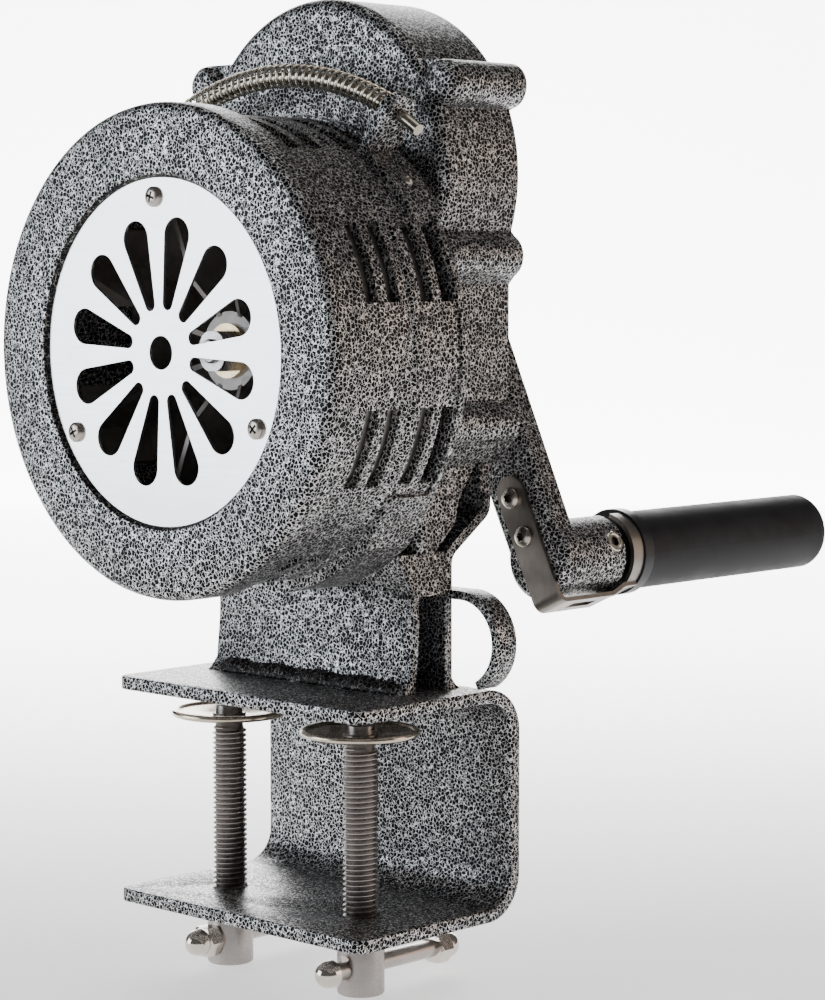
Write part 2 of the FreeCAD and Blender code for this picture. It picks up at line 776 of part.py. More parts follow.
def ear_roots(y0, y1):
    """The webs that blend the ears into the housing's flanks."""
    roots = []
    for side, x, z in [(1, x, z) for x, z in ears_right] + [(-1, x, z) for x, z in ears_left]:
        top = z > crank_z
        inner = box_top_r - 2 * ear_r if top else box_half - box_wall
        upper = z + ear_r if top else z + ear_r + ear_spread
        side_x, side_z = x + ear_r / 2, ear_r * ear_side
        shoulder = V(x, y0, z + ear_r) if top else V(side_x, y0, z + side_z)
        points = [V(inner, y0, upper), shoulder, V(side_x, y0, z - side_z), V(inner, y0, z - ear_r - ear_spread)]
        root = Part.Face(Part.makePolygon(points + points[:1])).extrude(V(0, y1 - y0, 0))
        roots.append(root if side == 1 else mirrored(root))
    return roots


def boxed(y0, y1, floor_z):
    """A plate of the housing's outline with its ears, from y0 to y1."""
    body = box_outline(y0, floor_z).extrude(V(0, y1 - y0, 0))
    posts = [tube(ear_r, 0, y0, y1, x, z) for x, z in ear_places()]
    return joined([body] + ear_roots(y0, y1) + posts)


def gearbox_housing():
    body = box_outline(box_front_y, box_end_z).extrude(V(0, box_back_y - box_front_y, 0))
    rim = [e for e in body.Edges if e.BoundBox.YMax < box_front_y + 0.01 and e.BoundBox.ZMax > box_end_z + 1]
    body = body.makeFillet(box_edge, rim)
    ears_front_y = box_front_y + box_edge
    body = joined([body] + ear_roots(ears_front_y, box_back_y))
    inside = box_outline(box_front_y + box_wall, box_floor_z, box_wall)
    body = body.cut(inside.extrude(V(0, box_back_y - box_front_y, 0)))
    body = joined([body] + ear_posts(box_front_y, box_back_y))
    foot = box_foot_half - box_wall
    body = body.cut(block(-foot, foot, box_front_y + box_wall, box_back_y, box_end_z, box_floor_z - box_wall))
    slope = [V(-box_half, box_back_y - y, box_end_z + z) for y, z in box_legs]
    slope.append(V(-box_half, box_back_y, box_end_z))
    body = body.cut(Part.Face(Part.makePolygon(slope + slope[:1])).extrude(V(2 * box_half, 0, 0)))
    front_bore = box_front_y + box_wall
    journal = crank_shaft_r + bush_wall
    lay_boss = shaft_r + bush_wall
    extra = [
        tube(drum_screw_circle_r + 4, drum_screw_circle_r - 4, drum_plate_back_y, box_front_y),
        tube(journal + 3, 0, front_bore, front_bore + boss_h + 2, 0, crank_z),
        tube(lay_boss + 2.5, 0, front_bore, lay_gear_y - side_gap, lay_x, lay_z),
    ]
    body = joined([body] + extra)
    cuts = [
        tube(journal + seat_fit, 0, front_bore, front_bore + boss_h + 2, 0, crank_z),
        tube(lay_boss + seat_fit, 0, front_bore, lay_gear_y, lay_x, lay_z),
        tube(shaft_r + 1, 0, front_bore - shaft_pocket, front_bore, lay_x, lay_z),
        tube(bearing_r + bearing_cup_wall + side_gap, 0, box_front_y, front_bore),
    ]
    cuts += [tube(drum_screw_r + seat_fit, 0, drum_plate_back_y, box_front_y + 1, x, z)
             for x, z in drum_screw_places()]
    cuts += [tube(ear_screw_r + seat_fit, 0, box_rear_y - ear_screw_len, box_back_y, x, z) for x, z in ear_places()]
    return body.cut(cuts).removeSplitter()


def bearing_plate():
    """The plate that closes the housing and carries the three rear bearings."""
    body = boxed(box_back_y, plate_back_y, plate_end_z)
    cup_r = bearing_r + bearing_cup_wall
    lay_boss = shaft_r + bush_wall
    lay_front = crank_gear_y + crank_gear_w + mesh_margin + side_gap
    crank_front = crank_gear_y + crank_gear_w + side_gap
    extra = [
        tube(cup_r, 0, box_back_y - 1 - bearing_w, box_back_y),
        tube(lay_boss + 2.5, 0, lay_front, box_back_y, lay_x, lay_z),
        tube(boss_r, 0, crank_front, box_back_y, 0, crank_z),
    ]
    body = joined([body] + extra)
    cuts = [
        tube(bearing_r + seat_fit, 0, box_back_y - 1 - bearing_w, box_back_y - 1),
        tube(shaft_r + 2, 0, box_back_y - 1, box_back_y),
        tube(lay_boss + seat_fit, 0, lay_front, box_back_y, lay_x, lay_z),
        tube(crank_shaft_r + bush_wall + seat_fit, 0, crank_front, plate_back_y, 0, crank_z),
    ]
    cuts += [tube(ear_screw_r + seat_fit, 0, box_back_y, plate_back_y, x, z) for x, z in ear_places()]
    return body.cut(cuts).removeSplitter()


def cover_screws():
    return [pan_screw(ear_screw_head_r, ear_screw_head_h, ear_screw_r, ear_screw_len, box_rear_y, x, z, toward=-1)
            for x, z in ear_places()]


# Stand
def weld(y, way, top_z):
    """The concave bead along the foot of a sheet whose face is at y. It is rooted inside the sheet."""
    sag = weld_leg * weld_hollow
    low, side, top, root_top, root = [V(-stand_half, y + way * a, top_z + up) for a, up in (
        (weld_leg, 0), (sag, sag), (0, weld_leg), (-sheet_t / 2, weld_leg), (-sheet_t / 2, 0))]
    wire = Part.Wire([
        Part.Arc(low, side, top).toShape(), Part.LineSegment(top, root_top).toShape(),
        Part.LineSegment(root_top, root).toShape(), Part.LineSegment(root, low).toShape(),
    ])
    return Part.Face(wire).extrude(V(2 * stand_half, 0, 0))


def stand_back_plate():
    """One bent sheet: it closes the gearbox's back and comes down to the clamp as the rear leg."""
    upper = boxed(plate_back_y, box_rear_y, joggle_top_z + 5)
    mid_y = plate_back_y + back_sheet_t / 2
    path = [
        V(-stand_half, mid_y, joggle_top_z + 20), V(-stand_half, mid_y, joggle_top_z),
        V(-stand_half, stand_back_y, joggle_end_z), V(-stand_half, stand_back_y, clamp_top_z),
    ]
    leg = ribbon(path, [joggle_top_r, joggle_end_r], back_sheet_t).extrude(V(2 * stand_half, 0, 0))
    bead = weld(stand_back_y + back_sheet_t / 2, 1, clamp_top_z)
    body = joined([upper, leg, bead])
    cuts = [tube(crank_shaft_r + bush_wall + seat_fit, 0, plate_back_y, box_rear_y, 0, crank_z)]
    cuts += [tube(ear_screw_r + seat_fit, 0, plate_back_y, box_rear_y, x, z) for x, z in ear_places()]
    return body.cut(cuts)


def foot_underside():
    """Everything below the foot's arched underside."""
    low, wide = clamp_top_z, clamp_half
    points = [V(-wide, 0, low), V(-wide, 0, foot_edge_z), V(-stand_half, 0, foot_edge_z),
              V(-foot_mid_half, 0, foot_mid_z), V(foot_mid_half, 0, foot_mid_z), V(stand_half, 0, foot_edge_z),
              V(wide, 0, foot_edge_z), V(wide, 0, low)]
    return Part.Face(Part.makePolygon(points + points[:1])).extrude(V(0, clamp_back_y, 0))


def stand_front_plate():
    foot_y = front_sheet_y - front_sheet_lean
    top = V(-stand_half, front_sheet_y, foot_mid_z + 1)
    bend = V(-stand_half, front_sheet_y, front_sheet_bend_z)
    end = V(-stand_half, foot_y, clamp_top_z)
    path = [top, bend, end + unit(bend, end) * sheet_t]
    sheet = ribbon(path, [front_sheet_bend_r], sheet_t).extrude(V(2 * stand_half, 0, 0)).common(foot_underside())
    return joined([sheet, weld(foot_y - sheet_t / 2, -1, clamp_top_z)])


def drum_foot():
    """The cast foot: a saddle round the drum's underside that flares out over the stand's two sheets."""
    inner = drum_r + run_fit
    hollow_r = back_plate_r + run_fit
    half, full = foot_panel_half_angle, foot_panel_full_angle
    marks = [polar(inner, 270 - half), polar(foot_panel_edge_r, 270 - half), polar(foot_panel_r, 270 - full),
             polar(foot_panel_r, 270), polar(foot_panel_r, 270 + full), polar(foot_panel_edge_r, 270 + half),
             polar(inner, 270 + half), polar(inner, 270)]
    p = [V(x, foot_panel_front_y, z) for x, z in marks]
    wire = Part.Wire([
        Part.LineSegment(p[0], p[1]).toShape(), Part.LineSegment(p[1], p[2]).toShape(),
        Part.Arc(p[2], p[3], p[4]).toShape(), Part.LineSegment(p[4], p[5]).toShape(),
        Part.LineSegment(p[5], p[6]).toShape(), Part.Arc(p[6], p[7], p[0]).toShape(),
    ])
    panel = Part.Face(wire).extrude(V(0, drum_plate_back_y - foot_panel_front_y, 0))
    panel = panel.cut(tube(hollow_r, 0, drum_back_y, box_front_y))
    rear = stand_back_y - back_sheet_t / 2
    high = V(-clamp_half, drum_plate_back_y, foot_top_z)
    low = V(-clamp_half, front_sheet_y - sheet_t / 2 - foot_front_gap, foot_edge_z)
    bow = (high + low) / 2 + unit(high, low).cross(V(1, 0, 0)) * foot_bow
    low_rear, high_rear = V(-clamp_half, rear, foot_edge_z), V(-clamp_half, rear, foot_top_z)
    side = Part.Wire([
        Part.LineSegment(high_rear, high).toShape(), Part.Arc(high, bow, low).toShape(),
        Part.LineSegment(low, low_rear).toShape(), Part.LineSegment(low_rear, high_rear).toShape(),
    ])
    skirt = Part.Face(side).extrude(V(2 * clamp_half, 0, 0))
    top, edge = stand_half - foot_draft, stand_half + foot_skirt
    plan = [V(-top, 0, foot_top_z), V(top, 0, foot_top_z), V(edge, 0, foot_edge_z), V(-edge, 0, foot_edge_z)]
    skirt = skirt.common(Part.Face(Part.makePolygon(plan + plan[:1])).extrude(V(0, clamp_back_y, 0)))
    skirt = skirt.cut(foot_underside())
    y0, y1 = drum_plate_back_y - foot_bridge, drum_plate_back_y + 1
    bridge = block(-top, top, y0, y1, foot_edge_z, foot_top_z).common(tube(foot_panel_r, hollow_r, y0, y1))
    return joined([panel, skirt.cut(tube(hollow_r, 0, drum_back_y, drum_plate_back_y)), bridge])


def carry_hook():
    """A flat strap on the rear sheet that curls down beside the stand."""
    y = stand_back_y + back_sheet_t / 2
    mid = hook_r + hook_t / 2
    z = hook_z + mid
    bar = block(hook_start_x, hook_x, y, y + hook_w, z - hook_t / 2, z + hook_t / 2)
    a0, a1 = 90.0, hook_tip_angle

    def at(r, degrees):
        a = math.radians(degrees)
        return V(hook_x + r * math.cos(a), y, hook_z + r * math.sin(a))

    outer, inner = hook_r + hook_t, hook_r
    m = (a0 + a1) / 2
    wire = Part.Wire([
        Part.Arc(at(outer, a0), at(outer, m), at(outer, a1)).toShape(),
        Part.LineSegment(at(outer, a1), at(inner, a1)).toShape(),
        Part.Arc(at(inner, a1), at(inner, m), at(inner, a0)).toShape(),
        Part.LineSegment(at(inner, a0), at(outer, a0)).toShape(),
    ])
    return joined([bar, Part.Face(wire).extrude(V(0, hook_w, 0))])


# Table clamp
def clamp_bracket():
    t = clamp_t / 2
    top, low = jaw_z + t, lower_jaw_z - t
    spine = clamp_back_y - t
    path = [V(-clamp_half, clamp_front_y, top), V(-clamp_half, spine, top), V(-clamp_half, spine, low),
            V(-clamp_half, clamp_front_y, low)]
    body = ribbon(path, [clamp_bend_r, clamp_bend_r], clamp_t).extrude(V(2 * clamp_half, 0, 0))
    corners = [e for e in body.Edges if e.Length < clamp_t + 0.1 and abs(e.BoundBox.YMin - clamp_front_y) < 0.01
               and abs(e.BoundBox.YMax - clamp_front_y) < 0.01]
    body = body.makeFillet(clamp_corner_r, corners)
    for x in (-clamp_screw_x, clamp_screw_x):
        hole = rod(clamp_screw_r + run_fit, V(x, clamp_screw_y, clamp_bottom_z), V(x, clamp_screw_y, lower_jaw_z))
        body = body.cut(hole)
    return body


def clamp_screw(x):
    """The threaded spindle with its turned tip and cross-drilled head."""
    shoulder = pad_floor_z - pad_t / 2 - run_fit
    head_top = clamp_bottom_z - head_gap
    spindle = spun_upright([
        (0, head_top - head_len), (head_r - 0.6, head_top - head_len), (head_r, head_top - head_len + 0.6),
        (head_r, head_top), (clamp_screw_r, head_top), (clamp_screw_r, shoulder), (clamp_tip_r, shoulder),
        (clamp_tip_r, pad_floor_z + pad_t / 2 + run_fit), (tip_collar_r, pad_floor_z + pad_t / 2 + run_fit),
        (tip_collar_r, pad_floor_z + pad_t / 2 + run_fit + tip_collar_h),
        (clamp_tip_r, pad_floor_z + pad_t / 2 + run_fit + tip_collar_h), (clamp_tip_r, tip_z), (0, tip_z),
    ], x, clamp_screw_y)
    return spindle.cut(tube(bar_r + run_fit, 0, clamp_screw_y - 2 * head_r, clamp_screw_y + 2 * head_r, x, bar_z))


def swivel_pad(x):
    """A dished washer that swivels on the screw's tip."""
    low, high = pad_floor_z - pad_t / 2, pad_floor_z + pad_t / 2
    return spun_upright([
        (clamp_tip_r + run_fit, low), (pad_floor_r, low), (pad_r, pad_rim_z - pad_t / 2), (pad_r, pad_rim_z),
        (pad_floor_r - pad_t / 2, high), (clamp_tip_r + run_fit, high),
    ], x, clamp_screw_y)


def bar_ends():
    """Where the two nuts' inner faces stand: the near one against the screw's head."""
    near = clamp_screw_y - head_r - 0.2
    return near, near + bar_free


def tommy_bar(x):
    near, far = bar_ends()
    return tube(bar_r, 0, near - bar_thread, far + bar_thread, x, bar_z)


def acorn_nuts(x):
    """Two domed nuts that keep the bar in its hole."""
    nuts = []
    for face, way in zip(bar_ends(), (-1, 1)):
        y0, y1 = sorted((face, face + way * nut_hex_h))
        body = hexagon(nut_flat, y0, y1, x, bar_z)
        end = face + way * (nut_hex_h + nut_dome_h)
        neck = face + way * nut_hex_h
        dome = [(0, face), (nut_dome_r, face), (nut_dome_r, neck + way * 1.6)]
        rise = nut_dome_h - 1.6
        dome += [(nut_dome_r * math.cos(a), neck + way * (1.6 + rise * math.sin(a)))
                 for a in (math.radians(30), math.radians(60))]
        dome.append((0, end))
        body = joined([body, spun(dome, x, bar_z)])
        bore = sorted((face, face + way * bar_thread))
        nuts.append(body.cut(tube(bar_r + seat_fit, 0, bore[0], bore[1], x, bar_z)))
    return nuts


# Carry handle
def on_handle(x):
    """A point of the handle rod's middle line."""
    return V(x, handle_y, handle_mid_z + math.sqrt(handle_r ** 2 - x ** 2))


def lug_middle():
    """Where the rod's line crosses the ray on which the lug's ear stands."""
    a = math.radians(lug_angle)
    b = -handle_mid_z * math.sin(a)
    reach = -b + math.sqrt(b ** 2 - handle_mid_z ** 2 + handle_r ** 2)
    return reach, reach * math.cos(a), reach * math.sin(a)


def handle_lug():
    """Right-hand lug: a strip bent out of the drum's round into an ear that holds the rod."""
    reach, x, z = lug_middle()
    y0, y1 = handle_y - lug_w / 2, handle_y + lug_w / 2
    lo, hi = drum_r + run_fit, drum_r + lug_t
    marks = [(lo, lug_start_angle), (lo, (lug_start_angle + lug_angle) / 2), (lo, lug_angle),
             (hi, lug_angle), (hi, (lug_start_angle + lug_angle) / 2), (hi, lug_start_angle)]
    p = [V(polar(r, a)[0], y0, polar(r, a)[1]) for r, a in marks]
    leg = Part.Face(Part.Wire([
        Part.Arc(p[0], p[1], p[2]).toShape(), Part.LineSegment(p[2], p[3]).toShape(),
        Part.Arc(p[3], p[4], p[5]).toShape(), Part.LineSegment(p[5], p[0]).toShape(),
    ])).extrude(V(0, lug_w, 0))
    t = lug_ear_t / 2
    ear = block(lo, reach, y0, y1, -t, t)
    narrow = Part.makePolygon([
        V(lo, y0, -t), V(reach, handle_y - lug_head_r, -t), V(reach, handle_y + lug_head_r, -t),
        V(lo, y1, -t), V(lo, y0, -t)])
    ear = ear.common(Part.Face(narrow).extrude(V(0, 0, 2 * t)))
    head = Part.makeCylinder(lug_head_r, 2 * t, V(reach, handle_y, -t), V(0, 0, 1))
    ear = joined([ear, head])
    ear.rotate(V(0, 0, 0), Y_AXIS, -lug_angle)
    ear = ear.cut(tube(lo, 0, y0, y1))
    body = joined([leg, ear]).cut(tube(back_plate_r + run_fit, 0, drum_back_y, drum_plate_back_y))
    return body.cut(handle_bar(handle_rod_r + seat_fit, x - lug_hole_reach, x + lug_hole_reach))


def handle_bar(radius, x0, x1):
    """A round bar along the handle's arc from x0 to x1."""
    a0, a1 = (math.degrees(math.asin(x / handle_r)) for x in (x0, x1))
    start = on_handle(x0)
    direction = V(math.cos(math.radians(a0)), 0, -math.sin(math.radians(a0)))
    face = Part.Face(Part.Wire(Part.makeCircle(radius, start, direction)))
    return face.revolve(V(0, handle_y, handle_mid_z), Y_AXIS, a1 - a0)


def handle_rod():
    return handle_bar(handle_rod_r, -handle_end_x, handle_end_x)


def lug_rivets():
    """One small dome on each lug's leg, with its shank through the drum's wall."""
    rivets = []
    x, z = polar(1, lug_rivet_angle)
    out = V(x, 0, z)
    for side in (1, -1):
        base = V(0, handle_y, 0) + out * (drum_r + lug_t)
        dome = Part.makeSphere(lug_rivet_r, base - out * (lug_rivet_r - lug_rivet_h))
        keep = Part.makeCylinder(lug_rivet_r, lug_rivet_h, base, out)
        rivet = dome.common(keep)
        rivets.append(rivet if side == 1 else mirrored(rivet))
    return rivets


def biarc(a, ta, b, tb):
    """Two arcs from a to b that leave along ta and arrive along tb."""
    v, t = b - a, ta + tb
    flat = 2 * (1 - ta.dot(tb))
    vt = v.dot(t)
    d = (-vt + math.sqrt(vt ** 2 + flat * v.dot(v))) / flat
    middle = (a + b + (ta - tb) * d) / 2
    return [arc_from(a, ta, middle), arc_from(b, tb * -1, middle)]


def arc_from(a, tangent, b):
    """The arc that leaves a along the tangent and ends at b."""
    chord = b - a
    half = chord.Length / 2
    along = chord / chord.Length
    side = tangent - along * tangent.dot(along)
    bulge = math.tan(math.acos(max(-1, min(1, tangent.dot(along)))) / 2) * half
    return Part.Arc(a, (a + b) / 2 + side / side.Length * bulge, b).toShape()


def spring_point(turn, x_end):
    """A point of the spring's wire after so many turns, and its direction."""
    def at(t):
        swing = math.asin(x_end / handle_r)
        a = -swing + 2 * swing * t / spring_turns
        p = 2 * math.pi * t
        out = V(math.sin(a), 0, math.cos(a))
        middle = V(0, handle_y, handle_mid_z) + out * (handle_r + spring_lift)
        return middle + out * (spring_mean_r * math.cos(p)) + V(0, spring_mean_r * math.sin(p), 0)
    step = 1e-4
    d = at(turn + step) - at(turn - step)
    return at(turn), d / d.Length


def spring_reach():
    """Half the spring's span in x, from ear to ear."""
    x = lug_middle()[1]
    across = lug_ear_t / 2 + side_gap + spring_wire / 2
    return x - across * math.cos(math.asin(x / handle_r))


def handle_spring():
    """One unbroken open coil that sleeves the handle's rod."""
    x_end = spring_reach()
    edges = []
    halves = 2 * spring_turns
    for i in range(halves):
        (a, ta), (b, tb) = spring_point(i / 2, x_end), spring_point((i + 1) / 2, x_end)
        edges += biarc(a, ta, b, tb)
    path = Part.Wire(Part.sortEdges(edges)[0])
    start, tangent = spring_point(0, x_end)
    u = tangent.cross(V(0, 0, 1))
    u = u / u.Length
    w = tangent.cross(u)
    r = spring_wire / 2
    corners = [start + u * (r * math.cos(2 * math.pi * i / spring_sides))
               + w * (r * math.sin(2 * math.pi * i / spring_sides)) for i in range(spring_sides)]
    section = Part.makePolygon(corners + corners[:1])
    gap = min((spring_point(i / 8, x_end)[0] - spring_point(i / 8 + 1, x_end)[0]).Length
              for i in range(8 * (spring_turns - 1))) - spring_wire
    print("handle spring: least gap between turns %.2f mm" % gap)
    return path.makePipeShell([section], True, False)


# Crank
def crank_frame(shape):
    """Swing a piece drawn straight down from the crank's axis to the arm's rest angle."""
    return turned(shape, 0, crank_z, -arm_angle)


def below(s):
    """z of a place s below the crank's axis, before the arm is swung."""
    return crank_z - s


def crank_shaft():
    end = arm_back_y + crank_washer_t + crank_nut_h + 2
    shaft = tube(crank_shaft_r, 0, crank_journal_y, end, 0, crank_z)
    return shaft.makeChamfer(1.0, ring_edges(shaft, crank_shaft_r, end))


def crank_bushes():
    front = (box_front_y + box_wall, box_front_y + box_wall + boss_h + 2)
    rear = (crank_gear_y + crank_gear_w + side_gap, box_rear_y)
    return [tube(crank_shaft_r + bush_wall, crank_shaft_r + run_fit, y0, y1, 0, crank_z) for y0, y1 in (front, rear)]


def crank_arm():
    """Cast arm: a hub on the shaft, a tapered web and the round boss that carries the grip."""
    end_z = below(arm_len)
    hub = tube(arm_hub_r, 0, arm_front_y, arm_back_y, 0, crank_z)
    end = tube(boss_end_r, 0, arm_front_y, arm_back_y, 0, end_z)
    points = [V(-arm_hub_r + 1, arm_front_y, crank_z), V(arm_hub_r - 1, arm_front_y, crank_z),
              V(arm_mid_half, arm_front_y, end_z + 8), V(arm_mid_half, arm_front_y, end_z),
              V(-arm_mid_half, arm_front_y, end_z), V(-arm_mid_half, arm_front_y, end_z + 8)]
    web = Part.Face(Part.makePolygon(points + points[:1])).extrude(V(0, arm_t, 0))
    body = joined([hub, web, end])
    rims = [e for e in body.Edges if abs(e.BoundBox.YMin - e.BoundBox.YMax) < 0.01]
    body = body.makeChamfer(arm_edge, rims)
    boss = tube(boss_end_r, 0, arm_front_y + arm_edge, boss_end_y, 0, end_z)
    boss = boss.cut(block(-boss_end_r, boss_end_r, arm_back_y, boss_end_y, end_z + boss_flat, end_z + boss_end_r))
    collar = tube(crank_hub_r, 0, box_rear_y + 2, arm_front_y + arm_edge, 0, crank_z)
    body = joined([body, boss, collar])
    fork = block(-fork_half, fork_half, fork_floor_y, boss_end_y, end_z - fork_back, end_z + boss_end_r)
    pin_hole = rod(fold_pin_r + seat_fit, V(-boss_end_r, fold_pin_y, end_z), V(boss_end_r, fold_pin_y, end_z))
    sink_x = boss_end_r - fold_pin_head_h
    sink = rod(fold_pin_head_r + side_gap, V(sink_x, fold_pin_y, end_z), V(boss_end_r + 1, fold_pin_y, end_z))
    shaft = tube(crank_shaft_r + seat_fit, 0, box_rear_y, arm_back_y, 0, crank_z)
    screws = [tube(leaf_screw_r + seat_fit, 0, arm_front_y, arm_front_y + leaf_screw_len, 0, below(s))
              for s in leaf_screw_s]
    return crank_frame(body.cut([fork, pin_hole, sink, shaft] + screws).removeSplitter())


def crank_washer():
    return tube(crank_washer_r, crank_shaft_r + seat_fit, arm_back_y, arm_back_y + crank_washer_t, 0, crank_z)


def crank_nut():
    y0 = arm_back_y + crank_washer_t
    y1 = y0 + crank_nut_h
    cone = crank_nut_flat / 2 * 1.06
    dome = spun([(0, y0), (cone * 1.1, y0), (cone * 1.1, y1 - 1.2), (cone * 0.98, y1), (0, y1)], 0, crank_z)
    nut = hexagon(crank_nut_flat, y0, y1, 0, crank_z).common(dome)
    return nut.cut(tube(crank_shaft_r + seat_fit, 0, y0, y1, 0, crank_z))


def latch_spring():
    """Leaf latch: screwed to the arm, bent round its end and rising to the catch ring at the grip's root."""
    half = leaf_w / 2
    front = arm_front_y - leaf_t / 2
    end_z = below(arm_len)
    drop_z = end_z - leaf_drop
    rise_z = end_z - catch_r + leaf_t / 2
    back_y = collar_y - side_gap
    path = [V(-half, front, below(leaf_top_s + half)), V(-half, front, drop_z), V(-half, leaf_step_y[0], drop_z),
            V(-half, leaf_step_y[1], rise_z), V(-half, back_y, rise_z)]
    leaf = ribbon(path, [leaf_bend_r, leaf_bend_r, leaf_bend_r], leaf_t).extrude(V(leaf_w, 0, 0))
    top = tube(half, 0, arm_front_y - leaf_t, arm_front_y, 0, below(leaf_top_s + half))
    ring = tube(catch_r, catch_r - catch_t, catch_y, back_y, 0, end_z)
    wide = math.radians(catch_open_angle)
    far = 3 * catch_r
    opening = Part.makePolygon([
        V(0, catch_y, end_z), V(-far * math.sin(wide), catch_y, end_z + far * math.cos(wide)),
        V(far * math.sin(wide), catch_y, end_z + far * math.cos(wide)), V(0, catch_y, end_z)])
    ring = ring.cut(Part.Face(opening).extrude(V(0, collar_y - catch_y, 0)))
    body = joined([leaf, top, ring])
    slot = block(-leaf_slot_half, leaf_slot_half, leaf_slot[0], leaf_slot[1], drop_z - 2, drop_z + 2)
    holes = [tube(leaf_screw_r + side_gap, 0, arm_front_y - leaf_t, arm_front_y, 0, below(s)) for s in leaf_screw_s]
    return crank_frame(body.cut([slot] + holes))


def latch_screws():
    screws = [pan_screw(leaf_screw_head_r, leaf_screw_head_h, leaf_screw_r, leaf_screw_len - 1,
                        arm_front_y - leaf_t, 0, below(s)) for s in leaf_screw_s]
    return [crank_frame(s) for s in screws]


def fold_pin():
    """The grip's pivot: a pin through the fork with a socket head on one side."""
    end_z = below(arm_len)
    a, b = V(-boss_end_r + 0.6, fold_pin_y, end_z), V(boss_end_r - fold_pin_head_h, fold_pin_y, end_z)
    head = rod(fold_pin_head_r, b, V(boss_end_r - 0.1, fold_pin_y, end_z))
    socket = fold_pin_head_r * 0.5
    hexa = [V(boss_end_r, fold_pin_y + socket * math.cos(i * math.pi / 3), end_z + socket * math.sin(i * math.pi / 3))
            for i in range(7)]
    hexa = Part.Face(Part.makePolygon(hexa)).extrude(V(-fold_pin_head_h, 0, 0))
    return crank_frame(joined([rod(fold_pin_r, a, b), head]).cut(hexa))


def grip_spindle():
    """Tang, flange seat and the rod on which the grip turns."""
    end_z = below(arm_len)
    pin = V(0, fold_pin_y, end_z)
    eye = rod(tang_round, pin - V(tang_half, 0, 0), pin + V(tang_half, 0, 0))
    stem = block(-tang_half, tang_half, fold_pin_y, collar_y, end_z - tang_round, end_z + tang_round)
    shaft = tube(spindle_r, 0, collar_y - 1, grip_y + grip_len - grip_cap_depth, 0, end_z)
    body = joined([eye, stem, shaft])
    hole = rod(fold_pin_r + run_fit, pin - V(tang_half + 1, 0, 0), pin + V(tang_half + 1, 0, 0))
    return crank_frame(body.cut(hole))


def grip_collar():
    return tube(collar_r, spindle_r + seat_fit, collar_y, grip_y - side_gap, grip_x, grip_z)


def grip():
    """The turning grip, bored for its spindle, with a sunk seat for the end screw."""
    y1 = grip_y + grip_len
    bore, seat_y = spindle_r + run_fit, y1 - grip_cap_depth - side_gap
    return spun([(bore, grip_y), (grip_r, grip_y)] + rounded((grip_r, y1), grip_edge, -1, -1) + [
        (grip_cap_r, y1), (grip_cap_r, seat_y), (bore, seat_y)], grip_x, grip_z)


def grip_end_screw():
    """Washer and cap head that keep the grip on its spindle."""
    y = grip_y + grip_len - grip_cap_depth
    head = tube(end_head_r, 0, y + end_washer_t, y + end_washer_t + end_head_h, grip_x, grip_z)
    washer = tube(grip_cap_r - side_gap, 0, y, y + end_washer_t, grip_x, grip_z)
    socket = hexagon(end_head_r, y + end_washer_t + 1.5, y + end_washer_t + end_head_h, grip_x, grip_z)
    return joined([washer, head]).cut(socket)


# Every piece under its own name; a list is a group of alike solids
pieces = {
    "front_flange_ring": front_flange_ring(),
    "grille_plate": grille_plate(),
    "grille_screws": grille_screws(),
    "drum_front_half": drum_front_half(),
    "drum_rear_half": drum_rear_half(),
    "drum_back_plate": drum_back_plate(),
    "drum_screws": drum_screws(),
    "drum_foot": drum_foot(),
    "rotor": rotor(),
    "rotor_shaft": rotor_shaft(),
    "rotor_washer": rotor_washer(),
    "rotor_nut": rotor_nut(),
    "rotor_pinion": rotor_pinion(),
    "bearing_outer_rings": bearing_outer_rings(),
    "bearing_inner_rings": bearing_inner_rings(),
    "layshaft": layshaft(),
    "lay_gear": lay_gear(),
    "lay_pinion": lay_pinion(),
    "lay_bushes": lay_bushes(),
    "gearbox_housing": gearbox_housing(),
    "bearing_plate": bearing_plate(),
    "cover_screws": cover_screws(),
    "stand_back_plate": stand_back_plate(),
    "stand_front_plate": stand_front_plate(),
    "carry_hook": carry_hook(),
    "clamp_bracket": clamp_bracket(),
    "handle_lug_right": handle_lug(),
    "handle_lug_left": mirrored(handle_lug()),
    "handle_rod": handle_rod(),
    "handle_spring": handle_spring(),
    "lug_rivets": lug_rivets(),
    "crank_shaft": crank_shaft(),
    "crank_gear": crank_gear(),
    "crank_bushes": crank_bushes(),
    "crank_arm": crank_arm(),
    "crank_washer": crank_washer(),
    "crank_nut": crank_nut(),
    "latch_spring": latch_spring(),
    "latch_screws": latch_screws(),
    "fold_pin": fold_pin(),
    "grip_spindle": grip_spindle(),
    "grip_collar": grip_collar(),
    "grip": grip(),
    "grip_end_screw": grip_end_screw(),
}
for side, x in (("left", -clamp_screw_x), ("right", clamp_screw_x)):
    pieces["clamp_screw_" + side] = clamp_screw(x)
    pieces["swivel_pad_" + side] = swivel_pad(x)
    pieces["tommy_bar_" + side] = tommy_bar(x)
    pieces["acorn_nuts_" + side] = acorn_nuts(x)

os.makedirs("parts", exist_ok=True)
origin = V(0, jaw_mid_y, jaw_z)
for name, shape in pieces.items():
    if isinstance(shape, list):
        shape = Part.makeCompound(shape)
    shape.translate(origin * -1)
    shape.exportStep("parts/" + name + ".step")
    print(name, len(shape.Solids), "solids", "valid" if shape.isValid() else "NOT VALID", round(shape.Volume))
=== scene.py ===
# %% [markdown]
# # A hand crank siren in hammertone paint
#
# The siren is a slotted drum with a bright grille in front and a gearbox behind. A crank arm with a
# black grip drives it, and a C-shaped clamp with two screws holds it to a table. The solids come from
# the CAD frame at their real size. This script finishes them, and puts fuller pieces in the place of
# the small hardware: threads, recesses and round wire. Nothing is moved or resized.

# %% Open the CAD frame
import json
import math

